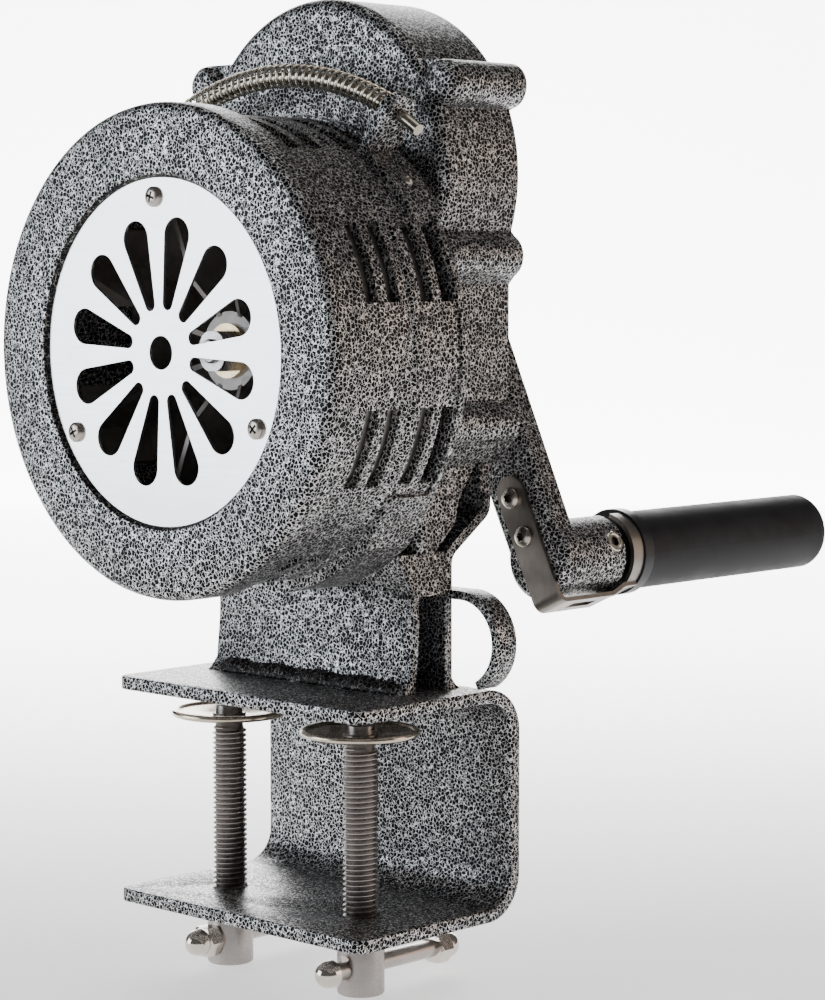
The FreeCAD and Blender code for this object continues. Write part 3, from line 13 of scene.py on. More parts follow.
import bmesh
import bpy
from mathutils import Matrix, Vector


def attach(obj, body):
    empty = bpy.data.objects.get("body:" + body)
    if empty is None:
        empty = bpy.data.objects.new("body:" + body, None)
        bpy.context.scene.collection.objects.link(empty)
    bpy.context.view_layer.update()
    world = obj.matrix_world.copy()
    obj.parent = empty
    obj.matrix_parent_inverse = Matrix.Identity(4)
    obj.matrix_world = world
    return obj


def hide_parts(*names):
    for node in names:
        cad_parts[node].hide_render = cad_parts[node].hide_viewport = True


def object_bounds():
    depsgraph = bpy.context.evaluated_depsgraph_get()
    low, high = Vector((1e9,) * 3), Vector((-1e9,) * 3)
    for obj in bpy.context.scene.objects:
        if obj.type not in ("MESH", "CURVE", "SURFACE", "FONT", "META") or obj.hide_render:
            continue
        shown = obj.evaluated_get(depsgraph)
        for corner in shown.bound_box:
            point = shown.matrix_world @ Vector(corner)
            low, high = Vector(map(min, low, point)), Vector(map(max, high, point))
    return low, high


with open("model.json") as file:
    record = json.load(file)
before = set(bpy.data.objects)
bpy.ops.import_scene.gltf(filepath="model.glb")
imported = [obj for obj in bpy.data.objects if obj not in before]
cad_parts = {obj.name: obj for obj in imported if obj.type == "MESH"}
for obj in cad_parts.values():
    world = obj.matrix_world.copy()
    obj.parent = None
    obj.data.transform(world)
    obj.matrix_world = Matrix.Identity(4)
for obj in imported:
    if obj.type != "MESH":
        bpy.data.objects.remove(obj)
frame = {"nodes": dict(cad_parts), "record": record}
cad_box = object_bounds()
nodes = frame["nodes"]
print("CAD nodes:", len(nodes))

# %% [markdown]
# ## Camera
#
# The photograph was taken from the grille side, about 43 degrees round and a little above the middle.
# The lens is long, so the drum looks round and calm. The camera's three axes are written as one
# matrix: right, up and back. That is easier to keep exact than a chain of turns.

# %% Set the camera
def place_camera():
    lens = bpy.data.cameras.new("photo_camera")
    lens.sensor_fit = "VERTICAL"
    lens.sensor_height = 36
    lens.lens = 102.16
    lens.clip_start = 0.05
    camera = bpy.data.objects.new("photo_camera", lens)
    bpy.context.scene.collection.objects.link(camera)
    right = Vector((0.7265, 0.687, 0))
    up = Vector((-0.0577, 0.0610, 0.9965))
    back = right.cross(up)
    camera.matrix_world = Matrix((right, up, back)).transposed().to_4x4()
    camera.location = (0.6850, -0.67385, 0.1475)
    bpy.context.scene.camera = camera
    return camera


place_camera()
print("camera looks along", [round(v, 3) for v in -bpy.context.scene.camera.matrix_world.col[2].xyz])

# %% [markdown]
# ## Floor and studio light
#
# A product photograph on white is lit by large, soft sources. One wide softbox stands at the front left:
# the bright grille mirrors it. A weaker, warmer one fills from the right and a third lights the top.
# The room itself stays dim, so that bare metal has something dark to mirror. A tall white screen glows
# behind the siren. The floor's white brightens towards it and fades to both sides, so the background
# is clean where the camera looks, and the floor doesn't flood the paint with light from below.

# %% Floor and screen
VIEW_AHEAD = Vector((-0.685, 0.724, 0.0)).normalized()
VIEW_SIDE = Vector((0.724, 0.685, 0.0)).normalized()
SCREEN_AWAY = 1.9
SCREEN_HALF_WIDE = 0.8
SCREEN_TALL = 1.5
SCREEN_GLOW = 6.0
FLOOR_HALF = 6


def white_glow(name, near, far, low, high):
    """White paper whose glow grows along the line of sight, near to far, and fades to the sides."""
    paper = bpy.data.materials.new(name)
    paper.use_nodes = True
    tree = paper.node_tree
    shader = tree.nodes["Principled BSDF"]
    shader.inputs["Base Color"].default_value = (0.9, 0.9, 0.9, 1)
    shader.inputs["Roughness"].default_value = 0.9
    shader.inputs["Specular IOR Level"].default_value = 0.1
    shader.inputs["Emission Color"].default_value = (1, 1, 1, 1)
    place = tree.nodes.new("ShaderNodeTexCoord").outputs["Object"]
    along = tree.nodes.new("ShaderNodeVectorMath")
    along.operation = "DOT_PRODUCT"
    tree.links.new(place, along.inputs[0])
    along.inputs[1].default_value = VIEW_AHEAD
    grow = tree.nodes.new("ShaderNodeMapRange")
    grow.interpolation_type = "SMOOTHSTEP"
    tree.links.new(along.outputs["Value"], grow.inputs["Value"])
    for key, value in (("From Min", near), ("From Max", far), ("To Min", low), ("To Max", high)):
        grow.inputs[key].default_value = value
    aside = tree.nodes.new("ShaderNodeVectorMath")
    aside.operation = "DOT_PRODUCT"
    tree.links.new(place, aside.inputs[0])
    aside.inputs[1].default_value = VIEW_SIDE
    width = tree.nodes.new("ShaderNodeMath")
    width.operation = "ABSOLUTE"
    tree.links.new(aside.outputs["Value"], width.inputs[0])
    fall = tree.nodes.new("ShaderNodeMapRange")
    fall.interpolation_type = "SMOOTHSTEP"
    tree.links.new(width.outputs[0], fall.inputs["Value"])
    for key, value in (("From Min", 0.45), ("From Max", 0.9), ("To Min", 1.0), ("To Max", 0.12)):
        fall.inputs[key].default_value = value
    glow = tree.nodes.new("ShaderNodeMath")
    glow.operation = "MULTIPLY"
    tree.links.new(grow.outputs["Result"], glow.inputs[0])
    tree.links.new(fall.outputs["Result"], glow.inputs[1])
    tree.links.new(glow.outputs[0], shader.inputs["Emission Strength"])
    return paper


def staged_sheet(name, corners, paper):
    mesh = bpy.data.meshes.new(name)
    mesh.from_pydata(corners, [], [(0, 1, 2, 3)])
    mesh.materials.append(paper)
    sheet = bpy.data.objects.new(name, mesh)
    bpy.context.scene.collection.objects.link(sheet)
    return sheet


floor_z = cad_box[0][2] - 0.0002
staged_sheet("floor", [(x * FLOOR_HALF, y * FLOOR_HALF, floor_z)
                       for x, y in ((-1, -1), (1, -1), (1, 1), (-1, 1))],
             white_glow("floor paper", -0.05, 1.0, 0.9, SCREEN_GLOW))
foot = VIEW_AHEAD * SCREEN_AWAY
edge = VIEW_SIDE * SCREEN_HALF_WIDE
rise = Vector((0, 0, SCREEN_TALL))
staged_sheet("screen", [foot - edge + Vector((0, 0, floor_z)), foot + edge + Vector((0, 0, floor_z)),
                        foot + edge + rise, foot - edge + rise],
             white_glow("screen paper", 0.0, 0.1, SCREEN_GLOW, SCREEN_GLOW))
print("screen", round(SCREEN_AWAY, 2), "m behind the siren")

# %% [markdown]
# ## Softboxes
#
# An area lamp is a softbox: the larger it is, the softer its edge on paint and the wider its streak on
# metal. The key is a little blue and the fill warm, as daylight and a lamp would be, which gives the
# front of the drum its cool silver and the side its brown one.

# %% Softboxes and room
def softbox(name, place, toward, size, watts, tint):
    lamp = bpy.data.lights.new(name, "AREA")
    lamp.shape = "RECTANGLE"
    lamp.size, lamp.size_y = size
    lamp.energy = watts
    lamp.color = tint
    box = bpy.data.objects.new(name, lamp)
    bpy.context.scene.collection.objects.link(box)
    box.location = place
    box.rotation_euler = (Vector(toward) - Vector(place)).to_track_quat("-Z", "Y").to_euler()
    return box


room = bpy.data.worlds.new("dim room")
bpy.context.scene.world = room
room.use_nodes = True
room.node_tree.nodes["Background"].inputs["Color"].default_value = (1, 1, 1, 1)
room.node_tree.nodes["Background"].inputs["Strength"].default_value = 0.12
softbox("key softbox", (-1.0, -1.25, 0.30), (0, 0, 0.1), (1.1, 0.9), 15, (0.86, 0.93, 1.0))
softbox("right fill", (1.2, 0.9, 0.35), (0, 0.05, 0.1), (0.6, 0.9), 4.2, (1.0, 0.80, 0.66))
softbox("top light", (0.1, 0.2, 1.6), (0, 0, 0.1), (0.9, 0.9), 3.5, (1.0, 0.98, 0.95))

# %% [markdown]
# ## A short way to build node materials
#
# Every finish below is a small graph: places on the object go in, colour, roughness and bump come out.
# A tiny class keeps the graph readable. It takes its places from the object's own coordinates, which
# here are metres of the siren, so a grain of one millimetre has a scale of about a thousand.

# %% The Finish helper
class Finish:
    """One material: its shader, and a short way to add and wire nodes."""

    def __init__(self, name):
        self.material = bpy.data.materials.new(name)
        self.material.use_nodes = True
        self.tree = self.material.node_tree
        self.shader = self.tree.nodes["Principled BSDF"]
        self.place = self.add("ShaderNodeTexCoord").outputs["Object"]

    def add(self, kind, sockets=None, **settings):
        made = self.tree.nodes.new(kind)
        for key, value in settings.items():
            setattr(made, key, value)
        for key, value in (sockets or {}).items():
            if isinstance(value, bpy.types.NodeSocket):
                self.tree.links.new(value, made.inputs[key])
            else:
                made.inputs[key].default_value = value
        return made

    def noise(self, scale, detail=2.0, rough=0.5, place=None):
        made = self.add("ShaderNodeTexNoise", {
            "Vector": place or self.place, "Scale": scale, "Detail": detail, "Roughness": rough})
        return made.outputs[0]

    def ramp(self, factor, stops):
        made = self.add("ShaderNodeValToRGB", {"Fac": factor})
        while len(made.color_ramp.elements) < len(stops):
            made.color_ramp.elements.new(0.5)
        for element, (at, colour) in zip(made.color_ramp.elements, stops):
            element.position = at
            element.color = (*colour, 1) if len(colour) == 3 else colour
        return made.outputs["Color"]

    def shift(self, value, low, high, out_low, out_high):
        made = self.add("ShaderNodeMapRange", {
            "Value": value, "From Min": low, "From Max": high, "To Min": out_low, "To Max": out_high})
        return made.outputs["Result"]

    def sum(self, a, b, kind="ADD"):
        return self.add("ShaderNodeMath", {0: a, 1: b}, operation=kind).outputs[0]

    def bump(self, height, depth, strength=1.0, below=None):
        sockets = {"Height": height, "Distance": depth, "Strength": strength}
        if below is not None:
            sockets["Normal"] = below
        return self.add("ShaderNodeBump", sockets).outputs["Normal"]

    def set(self, **values):
        for key, value in values.items():
            socket = self.shader.inputs[key.replace("_", " ")]
            if isinstance(value, bpy.types.NodeSocket):
                self.tree.links.new(value, socket)
            else:
                socket.default_value = value
        return self.material


print("Finish helper ready")

# %% [markdown]
# ## Hammertone paint
#
# The whole body is stoved in a silver and black hammer paint: black cells about a millimetre and a
# half apart lie in a net of silver strands. A Voronoi texture's distance to the cell's edge draws just
# such a net, and noise bends it first, so the cells look poured and not cut. A second noise widens and
# closes the strands, because the real blots run together. The silver is metallic and stands a few
# hundredths of a millimetre proud of the black.

# %% Hammertone paint
def hammertone(name, silver, strand=0.042, cells_per_metre=700, cell=(0.004, 0.004, 0.005)):
    paint = Finish(name)
    wobble = paint.add("ShaderNodeTexNoise", {"Vector": paint.place, "Scale": 1150.0, "Detail": 1.0})
    centred = paint.add("ShaderNodeVectorMath", {0: wobble.outputs["Color"], 1: (0.5, 0.5, 0.5)},
                        operation="SUBTRACT")
    bent = paint.add("ShaderNodeVectorMath", {0: centred.outputs[0], 1: (0.0013, 0.0013, 0.0013),
                                              2: paint.place}, operation="MULTIPLY_ADD")
    cells = paint.add("ShaderNodeTexVoronoi", {"Vector": bent.outputs[0], "Scale": float(cells_per_metre)},
                      feature="DISTANCE_TO_EDGE")
    run = paint.shift(paint.noise(520.0, 2.0, 0.6), 0.25, 0.75, -0.042, 0.042)
    edge = paint.sum(cells.outputs["Distance"], run)
    mask = paint.shift(edge, strand - 0.018, strand + 0.026, 1.0, 0.0)
    tone = paint.shift(paint.noise(26.0, 2.0), 0.3, 0.7, 0.82, 1.05)
    bright = paint.add("ShaderNodeVectorMath", {0: silver}, operation="SCALE")
    paint.tree.links.new(tone, bright.inputs["Scale"])
    blend = paint.add("ShaderNodeMix", {"Factor": mask}, data_type="RGBA")
    low, high = [s for s in blend.inputs if s.type == "RGBA"]
    low.default_value = (*cell, 1)
    paint.tree.links.new(bright.outputs[0], high)
    mixed = [s for s in blend.outputs if s.type == "RGBA"][0]
    peel = paint.bump(paint.noise(190.0, 1.0), 0.00012, 0.25)
    paint.set(Base_Color=mixed, Metallic=paint.shift(mask, 0, 1, 0.0, 0.85),
              Roughness=paint.shift(mask, 0, 1, 0.34, 0.40), Normal=paint.bump(mask, 0.00006, 0.5, peel))
    return paint.set(Specular_IOR_Level=0.09)


hammer_paint = hammertone("hammertone paint", (0.90, 0.89, 0.89))
print("paint nodes:", len(hammer_paint.node_tree.nodes))

# %% [markdown]
# ## Bare and plated metals
#
# The hardware is nickel, zinc, brass and plain turned steel. All of them are the same kind of graph:
# a metal colour that drifts a little, a roughness that drifts with handling, and fine grain in the
# bump. Turned and drawn pieces have their grain stretched along or around them, so the scale of
# each axis is its own number.

# %% Metal finishes
def bare_metal(name, colour, rough, grain=(900.0, 900.0, 900.0), grain_depth=0.00001, drift=0.12,
               stain=None):
    metal = Finish(name)
    stretched = metal.add("ShaderNodeMapping", {"Vector": metal.place, "Scale": grain}).outputs[0]
    fine = metal.noise(1.0, 3.0, 0.65, stretched)
    cloud = metal.noise(120.0, 3.0)
    low = tuple(c * (1 - drift) for c in colour)
    high = tuple(min(1.0, c * (1 + drift * 0.6)) for c in colour)
    stops = [(0.36, low), (0.62, high)]
    if stain:
        stops = [(0.30, stain), (0.44, low), (0.64, high)]
    grey = metal.ramp(metal.sum(metal.sum(cloud, 0.6, "MULTIPLY"), metal.sum(fine, 0.4, "MULTIPLY")), stops)
    metal.set(Base_Color=grey, Roughness=metal.shift(fine, 0.3, 0.7, rough * 0.82, rough * 1.2),
              Normal=metal.bump(fine, grain_depth, 0.6))
    return metal.set(Metallic=1.0)


grille_bright = bare_metal("bright grille sheet", (0.90, 0.90, 0.89), 0.24, (60.0, 900.0, 1400.0),
                           0.000004, 0.05)
screw_nickel = bare_metal("nickel screws", (0.44, 0.395, 0.35), 0.25, (700.0, 700.0, 700.0), 0.000006, 0.15)
rotor_cast = bare_metal("rotor aluminium", (0.52, 0.49, 0.47), 0.5, (300.0, 300.0, 300.0), 0.00003)
turned_steel = bare_metal("turned steel", (0.55, 0.54, 0.53), 0.28, (300.0, 2600.0, 300.0), 0.000008)
washer_brass = bare_metal("brass washer", (0.74, 0.58, 0.36), 0.26, (300.0, 2000.0, 300.0), 0.000008)
gear_steel = bare_metal("cut gear steel", (0.40, 0.39, 0.38), 0.36)
ring_steel = bare_metal("bearing steel", (0.68, 0.68, 0.68), 0.16)
bush_bronze = bare_metal("oiled bronze", (0.58, 0.41, 0.24), 0.38)
spring_nickel = bare_metal("spring wire", (0.88, 0.83, 0.73), 0.2, (1200.0, 1200.0, 1200.0), 0.000003, 0.1)
leaf_steel = bare_metal("leaf spring steel", (0.30, 0.275, 0.25), 0.34, (900.0, 900.0, 220.0),
                        0.000006, 0.16)
pin_nickel = bare_metal("pin nickel", (0.72, 0.66, 0.58), 0.22)
thread_steel = bare_metal("clamp screw steel", (0.36, 0.33, 0.315), 0.30, (500.0, 500.0, 900.0))
# A dark painted shade for the floors of recesses and the roots of threads.
painted_recess_shade = bare_metal("painted recess shade", (0.09, 0.08, 0.075), 0.42, (500.0, 500.0, 900.0))
# Darker hammertone: on the weld seam a darker paint, on the flange lip a painted shade.
weld_paint_and_painted_shade = hammertone("darker weld paint and painted shade", (0.40, 0.38, 0.36), 0.012, 660,
                        (0.007, 0.006, 0.006))
pad_zinc = bare_metal("passivated pad", (0.62, 0.54, 0.44), 0.20, (160.0, 160.0, 160.0), 0.00001, 0.2,
                      (0.34, 0.26, 0.19))
bar_steel = bare_metal("drawn bar steel", (0.42, 0.385, 0.36), 0.32, (1600.0, 260.0, 1600.0), 0.00001)
acorn_nickel = bare_metal("polished nickel nuts", (0.66, 0.60, 0.54), 0.13, (800.0, 800.0, 800.0), 0.000002,
                          0.05)
print("grille roughness about 0.24, nuts about 0.12, clamp screws about 0.33")

# %% [markdown]
# ## Black grip and collar
#
# The grip is a plain turned bar of black plastic with a satin skin. It isn't one flat black: the skin
# has a very fine grain and faint cloudy rubs from hands. The collar is a little glossier.

# %% Black plastic
def black_plastic(name, rough, grain_depth, gloss):
    plastic = Finish(name)
    cloud = plastic.noise(70.0, 3.0, 0.6)
    skin = plastic.noise(2600.0, 2.0, 0.6)
    colour = plastic.ramp(cloud, [(0.35, (0.012, 0.012, 0.013)), (0.65, (0.024, 0.024, 0.027))])
    plastic.set(Base_Color=colour, Roughness=plastic.shift(cloud, 0.3, 0.7, rough * 0.88, rough * 1.15),
                Normal=plastic.bump(skin, grain_depth, 0.5))
    return plastic.set(Specular_IOR_Level=gloss)


grip_black = black_plastic("satin black grip", 0.56, 0.00003, 0.2)
collar_black = black_plastic("black collar", 0.30, 0.00001, 0.35)
print("grip roughness about 0.56, collar about 0.30")

# %% [markdown]
# ## Give every CAD node its finish
#
# The record names a material slot for each node. One table from slot to finish dresses all of them,
# so no piece is left in the plain colour that it came with. The rod inside the handle's spring gets a
# darker nickel of its own, so the coils stand out in front of it.

# %% Dress the CAD nodes
finish_of_slot = {
    "hammertone_paint": hammer_paint, "grille_steel": grille_bright, "screw_nickel": screw_nickel,
    "rotor_aluminium": rotor_cast, "machined_steel": turned_steel, "washer_brass": washer_brass,
    "gear_steel": gear_steel, "bearing_steel": ring_steel, "bush_bronze": bush_bronze,
    "spring_nickel": spring_nickel, "leaf_steel": leaf_steel, "pin_nickel": pin_nickel,
    "clamp_screw_steel": thread_steel, "pad_passivated": pad_zinc, "bar_steel": bar_steel,
    "acorn_nickel": acorn_nickel, "collar_black": collar_black, "grip_black": grip_black,
}
slot_of_node = {s["node"]: s["material_slot"] for s in frame["record"]["subparts"]}


def dress(piece, finish):
    """Give a piece one finish, on all of its faces."""
    piece.data.materials.clear()
    piece.data.materials.append(finish)


for name, solid in nodes.items():
    dress(solid, finish_of_slot[slot_of_node[name]])
rod_nickel = bare_metal("handle rod nickel", (0.38, 0.34, 0.28), 0.24, (700.0, 700.0, 700.0), 0.000006)
dress(nodes["handle_rod"], rod_nickel)
print("dressed", len(nodes), "nodes in", len(set(slot_of_node.values())), "finishes")

# %% [markdown]
# ## Tools for turned, bent and cut pieces
#
# Small hardware is what tells a real object from a quick stand-in: recesses in screw heads, a true
# helix on each clamp screw, a round wire in the spring. Three ways of making a skin cover all of it.
# A lathe turns a profile about a line, a tube follows a path, and a prism pushes an outline along a
# line. Each is only rows of points, joined row to row, so one class holds them. Sizes are millimetres,
# because hardware is drawn in them. They become metres only when the mesh is made.

# %% The Shape helper
class Shape:
    """Points and faces of a new piece, in millimetres of the siren."""

    def __init__(self):
        self.points, self.faces = [], []

    def skin(self, rows):
        """Join closed rows of points; a row of one point closes the skin."""
        starts = []
        for row in rows:
            starts.append(len(self.points))
            self.points += [tuple(p) for p in row]
        for (a, low), (b, high) in zip(zip(starts, rows), zip(starts[1:], rows[1:])):
            count = max(len(low), len(high))
            for i in range(count):
                j = (i + 1) % count
                face = [a + i % len(low), a + j % len(low), b + j % len(high), b + i % len(high)]
                self.faces.append(tuple(dict.fromkeys(face)))
        return self

    def lathe(self, profile, at, along, rounds=64):
        """Turn (radius, height) points about the line from a place."""
        along = Vector(along).normalized()
        side = along.orthogonal().normalized()
        other = along.cross(side)
        rows = []
        for radius, height in profile:
            middle = Vector(at) + along * height
            turns = [2 * math.pi * i / rounds for i in range(rounds)] if radius > 0 else [0.0]
            rows.append([middle + (side * math.cos(a) + other * math.sin(a)) * radius for a in turns])
        return self.skin(rows)

    def prism(self, outline, at, along, up, low, high):
        """Push an outline of (across, up) points along a line, from low to high."""
        along, up = Vector(along).normalized(), Vector(up).normalized()
        across = up.cross(along)
        flat = [across * x + up * y for x, y in outline]
        ends = [Vector(at) + along * low, Vector(at) + along * high]
        return self.skin([[ends[0]], [ends[0] + p for p in flat], [ends[1] + p for p in flat], [ends[1]]])

    def tube(self, path, radius, sides=10):
        """A round wire along a path of points, closed at both ends."""
        rows, side = [[path[0]]], None
        for before, here, after in zip([path[0]] + path, path, path[1:] + [path[-1]]):
            ahead = (after - before).normalized()
            side = (side - ahead * side.dot(ahead) if side else ahead.orthogonal()).normalized()
            other = ahead.cross(side)
            turns = [2 * math.pi * i / sides for i in range(sides)]
            rows.append([here + (side * math.cos(a) + other * math.sin(a)) * radius for a in turns])
        return self.skin(rows + [[path[-1]]])


print("a lathe, a prism and a tube are ready")

# %% [markdown]
# ## Cutting a recess
#
# A recess is cut with Blender's exact boolean, as a punch would cut it. A recess could also be modelled
# face by face, but then every new outline would be new work, and the boolean takes any outline.

# %% Make a mesh and cut it
MM_PER_M = 1000


def mesh_of(shape):
    """The shape as a mesh in metres, with its faces turned outwards."""
    mesh = bpy.data.meshes.new("shape")
    mesh.from_pydata([tuple(v / MM_PER_M for v in point) for point in shape.points], [], shape.faces)
    skin = bmesh.new()
    skin.from_mesh(mesh)
    bmesh.ops.recalc_face_normals(skin, faces=skin.faces)
    skin.to_mesh(mesh)
    skin.free()
    return mesh


def cut(shape, tool, kind="DIFFERENCE"):
    """The shape with the tool cut out of it, or what both hold."""
    pair = [bpy.data.objects.new("blank", mesh_of(s)) for s in (shape, tool)]
    for thing in pair:
        bpy.context.scene.collection.objects.link(thing)
    step = pair[0].modifiers.new("cut", "BOOLEAN")
    step.operation, step.solver, step.object = kind, "EXACT", pair[1]
    done = bpy.data.meshes.new_from_object(pair[0].evaluated_get(bpy.context.evaluated_depsgraph_get()))
    for thing in pair:
        bpy.data.objects.remove(thing)
    made = Shape()
    made.points = [tuple(v.co * MM_PER_M) for v in done.vertices]
    made.faces = [tuple(f.vertices) for f in done.polygons]
    return made


def together(shapes):
    """Several shapes as one."""
    made = Shape()
    for shape in shapes:
        start = len(made.points)
        made.points += shape.points
        made.faces += [tuple(i + start for i in face) for face in shape.faces]
    return made


print("shapes can be cut and joined")

# %% [markdown]
# ## What every new piece needs
#
# A piece that stands for a solid keeps three promises: it has that solid's finish, it moves with the
# same body, and the solid is hidden. Where only some faces differ, such as the floor of a recess that
# gets painted shade, they get a second material, chosen by where the middle of each face lies.

# %% Put a piece in its place
def put(name, mesh, body, stands_for, crisp=32):
    """Link a new piece, finish it, and let it stand for its CAD solids."""
    mesh.shade_smooth()
    mesh.set_sharp_from_angle(angle=math.radians(crisp))
    piece = bpy.data.objects.new(name, mesh)
    bpy.context.scene.collection.objects.link(piece)
    dress(piece, finish_of_slot[slot_of_node[stands_for[0]]])
    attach(piece, body)
    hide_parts(*stands_for)
    return piece


def darken(piece, finish, inside):
    """Give another finish, a painted shade, to the faces whose middle, in millimetres, passes the test."""
    piece.data.materials.append(finish)
    for face in piece.data.polygons:
        if inside(face.center * MM_PER_M):
            face.material_index = len(piece.data.materials) - 1


print("a piece made by put() stands for its solids")

# %% [markdown]
# ## Softened sheet and cast pieces
#
# No bent sheet has a knife edge: shears and a deburring file leave about a third of a millimetre of
# round, and the paint pools there. A copy of each solid gets its sharp edges bevelled. Flat triangles
# are dissolved first, because a bevel only runs cleanly along real edges.

# %% Soften the edges
DRUM_AXIS_Z = 118.1


def soften(node, round_mm, dull=40):
    """A copy of a solid of the base with its edges sharper than dull degrees rounded."""
    skin = bmesh.new()
    skin.from_mesh(nodes[node].data)
    bmesh.ops.remove_doubles(skin, verts=skin.verts, dist=2e-6)
    bmesh.ops.dissolve_limit(skin, angle_limit=math.radians(0.6), verts=skin.verts, edges=skin.edges)
    hard = [e for e in skin.edges if len(e.link_faces) == 2 and e.calc_face_angle(0) > math.radians(dull)]
    bmesh.ops.bevel(skin, geom=hard, offset=round_mm / MM_PER_M, segments=2, profile=0.5, affect="EDGES",
                    clamp_overlap=False)
    mesh = bpy.data.meshes.new(node + "_soft")
    skin.to_mesh(mesh)
    skin.free()
    return put(node + "_soft", mesh, "base", [node], 50)


for node, round_mm in (("clamp_bracket", 0.5), ("carry_hook", 0.35), ("stand_front_plate", 0.35),
                       ("front_flange_ring", 0.2)):
    softened = soften(node, round_mm)
    print(softened.name, "has", len(softened.data.polygons), "faces")
# The flange ring is the last one. The lip that holds the grille gets painted shade, a darker paint.
darken(softened, weld_paint_and_painted_shade,
       lambda p: math.hypot(p.x, p.z - DRUM_AXIS_Z) < 57.4 and -68.6 < p.y < -64)

# %% [markdown]
# ## Weld seam at the foot of the riser
#
# The front sheet of the stand is welded to the clamp by hand, so its seam swells and sinks, and the
# seam gets a darker paint. A section is carried along the corner and its size follows two waves, a
# slow one for the hand and a quick one for the beads. Noise could do it too, but waves never change.

# %% Lay the weld seam
def weld_seam(low_x, high_x, corner_y, corner_z, size, steps=92):
    rows = [[(low_x, corner_y, corner_z)]]
    for i in range(steps + 1):
        x = low_x + (high_x - low_x) * i / steps
        ends = min(1.0, 0.35 + 0.65 * math.sin(math.pi * i / steps) * 4)
        swell = size * ends * (1 + 0.10 * math.sin(x * 0.31) + 0.06 * math.sin(x * 1.9 + 0.7))
        row = [(x, corner_y + 0.4, corner_z - 0.3)]
        for k in range(8):
            a = math.radians(180 - 90 * k / 7)
            row.append((x, corner_y + swell * 0.93 * math.cos(a), corner_z + swell * math.sin(a)))
        rows.append(row)
    return Shape().skin(rows + [[(high_x, corner_y, corner_z)]])


seam_mesh = mesh_of(weld_seam(-46.5, 46.5, -0.75, 4.5, 4.35))
seam_mesh.shade_smooth()
seam = bpy.data.objects.new("riser_weld_seam", seam_mesh)
bpy.context.scene.collection.objects.link(seam)
dress(seam, weld_paint_and_painted_shade)
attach(seam, "base")
print("weld seam", len(seam_mesh.polygons), "faces")

# %% [markdown]
# ## Screw heads
#
# Three kinds of screw show. Domed cross-recess screws hold the grille and the gearbox cover, and two
# screws with a six-lobed recess hold the latch leaf. The head is turned, then the recess is cut into
# it. Each recess sits at its own angle, as screws that were driven by hand do.

# %% Turn and cut the screws
def cross_outline(half, width):
    w = width / 2
    return [(-w, -half), (w, -half), (w, -w), (half, -w), (half, w), (w, w),
            (w, half), (-w, half), (-w, w), (-half, w), (-half, -w), (-w, -w)]


def lobed_outline(outer, inner, steps=48):
    turns = [2 * math.pi * i / steps for i in range(steps)]
    waves = [(outer + inner) / 2 + (outer - inner) / 2 * math.cos(6 * a) for a in turns]
    return [(r * math.cos(a), r * math.sin(a)) for r, a in zip(waves, turns)]


def hexagon_outline(corner_r):
    return [(corner_r * math.cos(math.pi / 3 * i), corner_r * math.sin(math.pi / 3 * i)) for i in range(6)]


def driven_screw(at, along, head_r, head_h, shank_r, length, recess, depth, turn):
    """A pan head on its shank; along points out of the head."""
    rim = head_h * 0.38
    dome = [(head_r * math.cos(a), rim + (head_h - rim) * math.sin(a))
            for a in (math.pi / 2 * i / 10 for i in range(10))]
    profile = [(0, -length), (shank_r, -length), (shank_r, 0), (head_r * 0.95, 0), (head_r, 0.15)]
    solid = Shape().lathe(profile + dome + [(0, head_h)], at, along, 48)
    up = Vector((math.sin(turn), 0, math.cos(turn)))
    punch = Shape().prism(recess, at, along, up, head_h - depth, head_h + 1)
    return cut(solid, punch)


GRILLE_FACE_Y, LEAF_FACE_Y, COVER_FACE_Y = -67.05, 44.75, 39.25
grille_places = [(-2.6, 168.0, 0.3), (-41.9, 90.9, 1.1), (44.6, 95.4, 0.75)]
grille_heads = put("grille_screw_heads", mesh_of(together([
    driven_screw((x, GRILLE_FACE_Y, z), (0, -1, 0), 3.3, 2.0, 1.5, 4.6,
                 cross_outline(1.75, 0.85), 1.1, turn)
    for x, z, turn in grille_places])), "base", ["grille_screws"])
latch_places = [(51.56, 67.53, 0.2), (57.48, 54.84, 0.9)]
latch_heads = put("latch_screw_heads", mesh_of(together([
    driven_screw((x, LEAF_FACE_Y, z), (0, -1, 0), 3.6, 2.2, 2.0, 8.0, lobed_outline(1.75, 1.25), 1.3, turn)
    for x, z, turn in latch_places])), "crank_body", ["latch_screws"])
cover_places = [(55.2, 205.3, 0.5), (54.0, 149.1, 1.2), (52.5, 93.1, 0.1),
                (-57.0, 208.1, 0.9), (-54.0, 149.1, 0.3), (-52.5, 93.1, 1.4)]
cover_heads = put("cover_screw_heads", mesh_of(together([
    driven_screw((x, COVER_FACE_Y, z), (0, 1, 0), 4.2, 3.2, 2.0, 24.0, cross_outline(2.1, 1.0), 1.7, turn)
    for x, z, turn in cover_places])), "base", ["cover_screws"])
# Painted shade: the faces inside each head's recess get a dark finish.
for heads, places, seat, way, tall in ((grille_heads, grille_places, GRILLE_FACE_Y, -1, 2.0),
                                       (latch_heads, latch_places, LEAF_FACE_Y, -1, 2.2),
                                       (cover_heads, cover_places, COVER_FACE_Y, 1, 3.2)):
    darken(heads, painted_recess_shade, lambda p: 0.1 < (p.y - seat) * way < tall - 0.32 and min(
        math.hypot(p.x - x, p.z - z) for x, z, turn in places) < 2.15)
print("screws:", len(grille_places) + len(latch_places) + len(cover_places))

# %% [markdown]
# ## Clamp screws
#
# Each clamp screw is an M12 bar with a real helical thread, a plain turned head with a cross hole for
# its bar, and a reduced end that the swivel pad turns on. The thread is one profile of crest, flank
# and root, carried round and up by its pitch of 1.75 mm. Neighbouring turns share their points, so it
# is one skin. The crest sinks into the core over the first and last half turn, as a cut thread runs out.

# %% Cut the threads
SCREW_X, SCREW_Y, BAR_Z = 31.9, -8.35, -87.5


